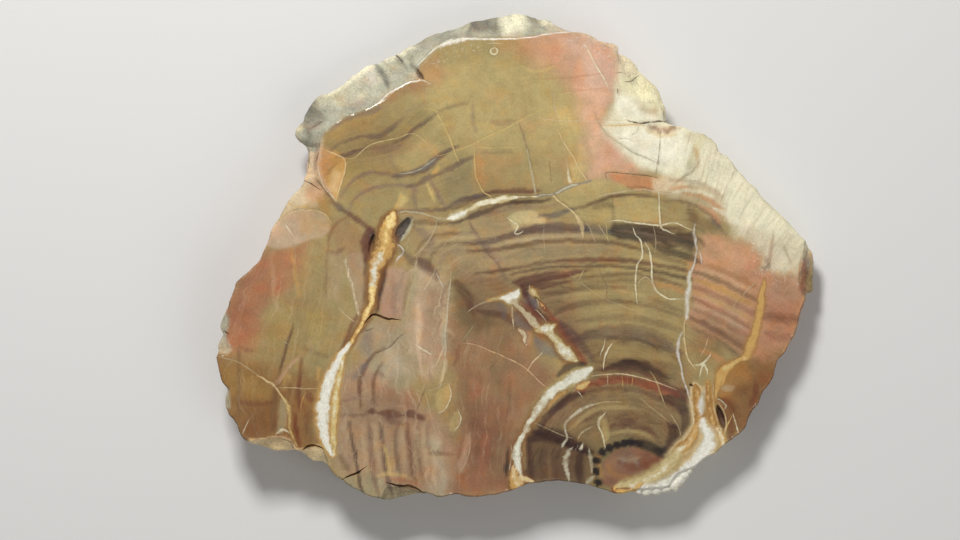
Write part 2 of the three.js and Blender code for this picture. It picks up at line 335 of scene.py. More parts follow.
# Markings. Every mark is a line or an outline on the face and goes down through the stone. A line of
# text holds one: its tone and numbers, a colon, and its points as "x y,x y,..." in mm from the
# middle; a third number is the mark's width there. A line set in goes on with the points.
tones = {
    "olive": (166, 145, 98), "khaki": (188, 167, 112), "khakiPale": (206, 186, 134),
    "oliveLeft": (150, 130, 86), "oliveDark": (134, 112, 78), "oliveBrown": (114, 93, 64),
    "oliveYellow": (178, 150, 84), "oliveGrey": (132, 122, 94), "salmon": (206, 158, 125),
    "salmonBright": (224, 176, 145), "salmonOrange": (202, 142, 98), "pink": (216, 178, 154),
    "salmonDeep": (180, 117, 84), "salmonBrown": (152, 110, 82), "salmonRight": (210, 156, 121),
    "orange": (200, 140, 84), "peach": (224, 186, 144), "peachPale": (226, 202, 164),
    "cream": (240, 232, 198), "ivory": (250, 245, 220), "white": (244, 240, 224), "straw": (238, 228, 182),
    "creamGrey": (238, 230, 198), "creamPink": (206, 188, 158), "creamTan": (196, 178, 142),
    "stain": (190, 134, 76), "greyGreen": (166, 156, 122), "greyPale": (192, 184, 154),
    "blueGrey": (126, 122, 114), "slate": (92, 88, 88), "lilac": (220, 214, 204),
    "shoulder": (170, 165, 142), "shoulderPale": (190, 185, 158), "shoulderDark": (108, 104, 90),
    "shoulderEdge": (216, 206, 164), "rind": (142, 122, 94), "tan": (176, 147, 119),
    "tanPale": (194, 168, 136), "mauve": (140, 116, 96), "mauveDark": (108, 88, 76), "brown": (106, 80, 60),
    "darkBrown": (76, 56, 47), "black": (60, 51, 48), "maroon": (104, 68, 56), "rust": (140, 76, 54),
    "rustDark": (118, 66, 44), "redBrown": (118, 72, 53), "pith": (160, 112, 88), "ochre": (192, 146, 80),
    "amber": (226, 178, 98), "gold": (218, 190, 122), "ochreBrown": (142, 102, 60), "earth": (120, 85, 54),
    "milk": (232, 229, 207), "bone": (212, 204, 178), "wax": (230, 204, 154), "honey": (208, 164, 96),
    "resin": (170, 125, 66), "umber": (140, 95, 54), "ash": (150, 144, 127), "ghost": (196, 182, 174),
    "crust": (232, 208, 160), "soot": (40, 32, 34), "butter": (255, 224, 144),
}


def readMarks(text):
    marks = []
    for line in text.splitlines():
        if line.startswith(" "):
            marks[-1][-1] += "," + line
        elif line and not line.startswith("#"):
            head, points = line.split(":")
            marks.append([*(word if word.isalpha() else float(word) for word in head.split()), points])
    return marks


# soft fields of colour: tone, softness of the edge, strength, outline
# painted highlight: cream bands along the broken shoulder's outer edge, where it faces the light
# painted shade: darker patches on the broken shoulder near its top edge, toning down a facet that faces the
# light
# pale crust at the lower left edge; part of its paleness is painted light on a slope that faces away from
# the lamp
# white quartz lumps at the lower right corner; part of their whiteness is painted light on slopes that face
# away from the lamp
fields = readMarks("""
ochreBrown 2 .25: -46 -9,-39 -8,-38 -15,-44 -17
# upper half
khaki 6 .9: -20 36,-8 42,4 42,10 34,12 28,8 23,-2 21,-14 21,-20 27,-28 28
oliveLeft 2.5 .65: -38 22,-33 26.5,-28 28.5,-22 30,-17 28,-19 23,-24 20,-30 19,-36 18
oliveLeft 4 .4: -10 19,4 19,4 12,-8 11
oliveGrey 1.2 .4: -15 15.6,-9 18.8,-8.4 12,-10 10.6,-14 10
oliveYellow 1.6 .45: -36 18.6,-30 18.5,-27 17.2,-31 15.6,-34 12,-35.4 12
khaki .8 .55: -24 19.5,-18 22.5,-14.5 20,-19 17.6,-23 16.6
ochre 1.2 .4: -38.4 22.6,-36 26.4,-31 27.4,-28 27.8,-29.5 24.6,-33 24.6,-36 22.6
orange 1.6 .2: -8 20,-7.6 13,-5 12.8,-2 13.5,-2 19.6
salmonOrange 2.2 .7: 0 44,8 45,12 43.5,10.5 38.2,5 39.4,1 39.4,-1 41.4
salmon 2.4 .85: 2 44.5,12 46,21 43,21 33,17 30.5,12.5 31.5,9 36.4,4 38.6
pink 2.5 .85: 10 43.6,20.5 43,20.6 34,17.4 31,14.4 33,11.6 38
pink 1.2 .5: 7 44.6,14 44.4,18 42.5,15 40.6,9 42
salmonBright 2.4 .95: 12.6 34,17.5 33.4,18 30,17.6 27,19.5 24,22.5 21,25.5 17,19 15.4,15.4 15.8,14.3 20
 13.3 25,12.6 30
gold 1 .4: 10.4 14.6,11.4 18,13.4 22,14.3 17.4,13 15.2
gold 1.5 .4: 7.6 29,12 29,12.6 25,10.6 22,8.4 26
# the cream rim on the right
cream 1.5 1: 20.5 41,25 39,30 33,31 27,38 26,42 21,50 13,56 7,62 1,61 -3,57 -4.2,53 -3.7,49.6 -3,48.8 0
 47.5 2.4,44.5 4.8,42 8,39 11.5,35 14,30 14.8,28.5 16.4,25 17.8,22 20,19.5 22.6,17.4 25,18 27,19.2 30
 20.5 33
ivory 2 .9: 20 24.5,24 26,30 24.5,34 24,35 20,33 17.5,30 17.4,26 18.8,22 21
straw 1 .8: 21 40.5,25 38,28.6 33.4,30 29,27.5 30,24 31,21.4 34
creamPink .5 .5: 20.4 40,23 39.8,25 37.6,24 36,21.6 35
ivory 1.2 .8: 20.5 33,23 31.5,25 29,29 27.5,22 27.4,19.6 30
creamTan .8 .5: 24 30.8,26.5 29.8,28.4 30,28.6 28.8,26 28.4,24.6 29
creamGrey 1.6 .9: 37.5 23,43 19,50 12,58 3,52 3,46 6.5,41.5 9.5,37 14.5,36.8 19
creamPink 1.6 .7: 44.6 5.6,50 5,54 3,53 -3.4,49.8 -2.8,48.8 .6
creamPink 1.4 .5: 54 4.6,57.4 1.4,57 -3.8,54 -3.4
creamTan 1 .7: 29.4 13.2,33 14,37 13.6,40.6 10.6,42.4 7.6,39.6 7.4,36.6 10.6,31 11.4
# right, between the rim and the corner vein
salmonRight 1.4 .85: 36.7 4.2,40 4.2,44 3.8,48 1.5,49.2 -3,53 -3.9,57 -4.6,59 -8,57 -14,54 -20,50 -22,46 -20
 41 -18,37 -16,34.8 -12,34.8 -6
tan 2 .5: 50.4 -4.6,57 -5,58 -8,56 -10,51 -8
salmonDeep 2 .4: 50 -9,57 -9,57 -14,53 -20,49.4 -18
tan 2 .5: 36 -7,46 -9,46 -18,40 -17,35 -13
oliveDark 1.6 .45: 35 -11,41 -12,47 -17,46 -20.4,40 -20,35 -20
ochreBrown 1.6 .9: 54 -19.4,49.4 -20.8,46.5 -20.8,42 -23,40.2 -28,41 -33,44.5 -37,50 -30,54 -22
ochre 1.2 .5: 41 -22.6,46 -21.5,46.5 -25,43 -29,40.6 -28
earth 1.5 .35: 44 -27,50 -24,52 -25,47.5 -33,45 -36,42.6 -33
ochreBrown 1.4 .4: 35 -16.6,38 -16,41.6 -20,40 -21.6,36 -21
# rings round the pith
oliveDark 3 .8: -2 -46,0 -39,4 -32,9 -26.5,15 -21,22 -17,30 -18,35 -25,36 -33,33 -38,28 -44,20 -47
oliveBrown 2 .5: 12 -34,18 -31,27 -31,32 -34,33 -37,30 -40,26 -37,20 -37,15.5 -41
oliveDark 1.4 .5: 2.4 -37,9 -38,12 -39,11 -46,3 -46
tan 2.5 .4: -22 8,-12 7,2 8,14 6,20 1,10 -3,-4 -4,-14 -3,-20 0
khaki 1 .4: 2 -.4,12 .6,24 .4,30 -1.4,22 -.6,12 -.5
khaki .6 .55: 18.8 -18,24 -18.2,30 -19.6,32 -21.8,27 -21,20 -20.6,17.8 -21
# the reddish middle and the foot
oliveBrown 2 .7: -13.4 -5.6,-11 -6,-8 -9.4,-5 -11.4,-3.4 -14,-6 -16,-10 -16,-12.4 -13
tan 1.4 .4: -10 -3.4,-6 -4,-5 -6,-8 -6.6
salmonBrown 2.2 .85: -14 -12,-8 -15.5,-1 -15,3 -19,8 -24,4.5 -29,.5 -36,-2 -48,-13 -48,-12 -38,-10 -32
 -12.5 -24,-14.5 -18
redBrown 2.5 .3: -12 -23,-7 -23,-6 -30,-9 -34,-12 -31
oliveDark 1.6 .6: -6 -16.5,-2 -16.5,-1.5 -22,-4.5 -23
oliveDark 1.8 .6: -4.8 -34,-2 -34,0 -39,-1.6 -46,-4.6 -46
redBrown 1.6 .65: -8 -33,-4.6 -34,-4.6 -41,-7 -42,-8.6 -38
salmonDeep 1.4 .3: -11 -43,-7 -44,-2 -44.6,-2 -48,-12 -48
tan 2 .85: -36 -24,-30 -21,-24 -25,-19 -29,-15 -33,-12 -38,-13 -48.5,-26 -49,-35 -45,-37 -38,-36 -30
mauve 1.6 .4: -36 -28,-28 -28.5,-20 -29,-19 -34,-28 -33.6,-36 -32.6
salmonBrown 1.2 .4: -29 -26,-22 -26,-18 -29,-22 -30.4,-29 -30
greyGreen 1.2 .95: -31.5 -15,-28 -12.6,-22.5 -13.6,-20.5 -12,-17.5 -17,-19 -24,-23 -27,-27 -25,-30.4 -20.5
blueGrey 1 .6: -30.6 -15,-28.6 -15.6,-27.8 -18.8,-29.6 -20.6,-31.6 -19
greyPale 1.4 .5: -26 -19,-22.6 -17,-22 -24,-26 -25.6
tanPale 1.6 .95: -20 -2,-14 -4,-13.5 -12,-14.5 -22,-18 -25,-20.5 -16,-22 -8
tan .6 .95: -26.2 -2.6,-22.5 -2.6,-21 -4,-22.2 -8,-22.6 -12.8,-27 -12.4,-27.2 -8
greyGreen .8 .6: -21 -3.6,-19.6 -4,-20.4 -9,-22 -12.6,-23 -12.4,-22 -8
salmonBrown 1.6 .5: -18 -6,-14 -7,-14 -18,-15.5 -22,-18.6 -18
greyPale 1 .6: -17.8 -36,-15.6 -37,-14 -48.4,-16.6 -48.4
# left side
salmonDeep 2.2 .85: -52 1.4,-46 1.6,-42 2,-43 -2,-46 -7,-49.5 -9.5,-50 -14,-53 -19,-59 -20,-59 -14,-57 -8
 -54 -4
salmonDeep 1.8 .5: -52.6 -1,-50 0,-51 -9,-54 -18,-57.6 -19,-58 -10,-56 -5
orange 2 .3: -44.4 -1,-41 -1.4,-40.6 -5.6,-43 -8
oliveLeft 2.5 .4: -42 -4,-37.6 -3.6,-36 -14,-40 -20,-44 -17
oliveYellow 2 .6: -49 -12,-45.4 -12,-44 -16,-48 -18.6,-50 -16
oliveYellow 1 .6: -41 -11.6,-38 -11.4,-37.6 -15,-40 -17.6,-41.6 -15
ochreBrown 2.5 .85: -60 -21,-52 -22,-46 -25,-42 -23,-38 -24,-40 -34,-42 -41,-52 -40,-60 -32
oliveYellow 2 .45: -59 -22,-53 -23.6,-49 -26,-50 -28.6,-57 -28.6
earth .8 .6: -42.6 -31,-40.6 -31,-39.8 -37.6,-42.6 -38.4
earth .8 .45: -54.6 -30,-49 -30,-49 -34.6,-54 -34.4
redBrown 1 .45: -56 -33.6,-53 -34.4,-49 -35,-50 -37,-54.6 -37.6
tan 1.4 .45: -38 1.6,-33.9 1.4,-33.8 -4,-35 -9.5,-38 -9
salmonBrown 1 .4: -37.6 7,-34 8,-31 5,-29.6 1,-30 -2,-33 0,-35.6 1,-37 3.6
tan .35 .6: -33.6 0,-32 .6,-30.4 0,-29.7 -4,-30.3 -10,-31.4 -12,-32.4 -8,-33.6 -4.6,-34 -2
peachPale .8 .95: -47.5 7.8,-45 12,-42.5 15,-42.4 22,-38.8 22.5,-39.6 16,-37.6 12.4,-40 9.6,-43 9.4
salmonOrange .9 .5: -42.4 11.6,-39.6 15,-37.4 12.2,-38.6 10.6,-41 10
ochre .8 .6: -39.5 10.6,-37.6 11,-36 9.6,-37.4 7.4,-39 8.8
tanPale .4 .95: -49 5.4,-46.6 7.4,-44 8.7,-41.5 9,-39 8.6,-37.5 7,-37 5,-38.5 3.5,-41 3.1,-44 1.9,-46 1.4
 -48.5 1.3,-50.4 2.4
oliveYellow 1.6 .4: -43 8.6,-39 8.4,-37.2 6.4,-38.6 3.6,-42 3
peach 1 .5: -49 6,-46.6 8.6,-43.4 9.6,-44 7.8,-47 6,-48.4 4
peachPale .7 .9: -42.6 24,-39 23.6,-39 20,-40 17,-40.2 15.6,-42.5 14.5
honey .35 .9: -38.5 21.4,-36 20.5,-34 19.3,-34 17,-35.3 13,-35.8 10.8,-36.5 11.8,-38.5 13.5,-39.5 17
salmonOrange .6 .45: -38.6 21,-37 20.4,-37 17.6,-37.6 15,-38.6 14.6,-39 17.6
tan .8 .35: -39 21,-36.4 20.2,-36.4 18,-39 17
wax .6 .5: -36.6 17,-34.8 16.6,-35.6 12.4,-37.4 13
oliveYellow .8 .3: -37.6 20.4,-35.4 19.6,-36 16,-37.6 14,-38.6 16
salmonOrange 2 .5: -20 38.2,-17 40.4,-14.4 38,-15 34.6,-18.6 34.4
salmonBrown 1 .6: -29 30.4,-25 33,-20.6 35,-17 34.4,-17.6 32.6,-22 31.4,-27 28.8
gold .4 .6: -23.2 12.5,-21.8 12,-21.4 11,-22.4 10,-24.4 9.2,-23.6 11
# plates bounded by hairlines
khakiPale .3 .8: -1.6 7.6,-.5 8.3,1 8.7,3 8.9,4.5 8.2,6 7.8,6 6,3 6.2,.6 6,.8 5,1.4 4.6,0 4.2,-.4 5
khaki .25 .85: -13.4 -25.8,-13 -27.6,-13.3 -29.2,-14.3 -31,-15.5 -31.5,-16 -30,-16.2 -28,-15 -26.8
khaki .25 .8: -11.6 -31,-11 -33,-12 -35,-13.3 -35.3,-13.2 -33,-12.5 -31.5
tanPale .4 .5: -9.2 -35.6,-9.2 -39,-10.6 -43.6,-11.6 -43,-10.6 -39
khaki .35 .75: 7.6 12.2,12 14.6,17 15.2,21.6 14.2,23 12.8,18 12.1,14 10.2,11 9.6,9 10.8
khaki .35 .75: 11.4 9,15 10,18.6 11.4,23 11.8,28.4 11.4,28.6 6.4,24 6.8,20 7,14 6.8,12.6 7.4
olive .35 .7: 29 11,34 10.2,35.2 6,33.4 5.8,31 6.6,29.3 6.2
salmonOrange .4 .85: 18.4 16.3,23 16.1,28 15.5,29.4 14.6,28.6 13,24 13.2,21.6 13.8,19.4 15
peachPale .7 .9: 27.4 15.2,30 15.8,33.6 15.4,34 13.9,31 13,29.4 12.4,27.4 12.8
oliveBrown 1.4 .6: 33.6 10,37.6 8.4,40.4 5.6,37 4.6,35 5.4
black .5 .8: 19.4 6.4,23 6.3,28 5.9,29.4 5.2,32 4.4,35.4 4.6,36 2.2,35.4 .4,33 1.6,30.6 1.2,28 2.6,25.5 2.3
 22.5 3,20.5 3.2,18.4 4.6
# the pith
pith .6 1: 17.2 -45.6,17.3 -43.4,17.4 -41.4,18.6 -39.9,20.6 -38.8,22.8 -38.4,25.6 -38.9,28 -40,30 -41
 27.5 -42.8,24 -45,20 -47
salmonOrange 1 .5: 17.2 -44,18 -41.6,20.4 -41,19.6 -44
ghost .8 .08: 20 -40,25 -39.8,25.6 -41.6,22 -42.4,19.6 -42
rust 1 .6: 25.6 -39.6,28.4 -40.4,28.8 -42,25.8 -42.6,24.6 -41
tanPale .7 .5: 25 -43.2,28.6 -42.4,27 -44.4,24.6 -45
# broken shoulder and the flakes
white .5 .9: 34.8 -42.4,33 -43.8,30.6 -45.4,27 -46.2,23.6 -46.4,22.6 -49.5,31 -49.5,37 -45.4
shoulder .25 1: 12.5 46,8 44.6,4 44,0 43.6,-4 43.4,-8 43.5,-11.9 43.3,-13.5 42.6,-15.8 41.6,-17.4 40.2
 -18.4 39,-19.2 38.1,-19.7 37.2,-18.9 35.4,-21 34.7,-23.5 33.6,-25.5 32.2,-27.8 30.2,-30 29.3,-32.5 28.3
 -35 27.1,-37 25.6,-38.4 24.1,-39.4 20.7,-46 20,-46 30,-30 42,0 52,12 48
shoulderPale 1.4 .85: -40.6 31,-36 33,-30 37.4,-24 39.6,-25 37,-30 33,-34 30,-38.4 29.6
cream .7 .9: -41 31.8,-38 31.8,-35 33,-31.6 35.6,-28.6 37.6,-27 38.4,-28.6 40,-36 36
cream .7 .8: -26.6 38.6,-24 39.6,-22.6 40.2,-20 41.4,-22 43,-27 41
ghost .9 .5: -31 36.6,-28.6 37.4,-28 35.4,-30 34.4
shoulderPale 1 .6: -22 40,-16 43,-10 45,-11 44,-16 42,-19 39.5
shoulderDark 1.2 .85: -43.4 29,-41.6 31,-39.8 29.6,-40 26.4,-42.6 25.8
shoulderDark .7 .5: -42.6 25.6,-40.6 26,-40.4 23.6,-41.8 22.4
shoulderDark 1.2 .9: -9.6 48,-6 48.4,-5.4 45.6,-7 44.4,-10.4 44.6
shoulderDark 1.4 .35: -20 42.4,-11 46,-11 44.4,-15 43,-19.4 40.6
shoulderDark .6 .5: -4.6 47.8,-3.6 47.8,-3.6 44.6,-4.6 44.4
cream 1.1 1: -3.6 48.6,1 50,2 48,1.8 45,-2.8 44.6
ash .8 .55: 2.4 48.6,4.6 47.6,5 45,3 44.2,1.8 46
cream .7 .9: 4.4 48.2,8 47,12 45.4,9 45.2,5.4 46
creamPink .6 .8: 6 46.4,10 45.8,14 45.2,11 44.8,6 44.6
creamPink .7 .7: 10 44.9,13 45.4,20.6 42.6,20.6 41,17 42.2,14 44
shoulderEdge .5 .5: -45 25.6,-43.4 26.6,-42.8 25.4,-44 24
shoulderPale .3 .8: -58.5 -10.8,-57.4 -12.5,-57.5 -14.5,-57.8 -16,-57.3 -17.6,-56.6 -18.9,-57.5 -19.6
 -59.8 -19.6,-62 -16,-60 -11
shoulderPale .3 .8: -60 -26,-57.2 -26.8,-57.2 -30.6,-60 -31
crust .3 1: -53.5 -37,-50 -36.6,-48.4 -36.2,-46.6 -36.2,-45.2 -36.9,-44.2 -38.2,-43.6 -38.8,-41 -38.3
 -39.8 -38,-38.7 -38.7,-37.4 -41.8,-40 -43,-54 -41
greyGreen .4 .8: -35 -45,-31 -43.3,-29.5 -42,-28.5 -43.2,-25.5 -45.8,-23 -46.6,-19 -47.2,-19 -50,-35 -50
""")
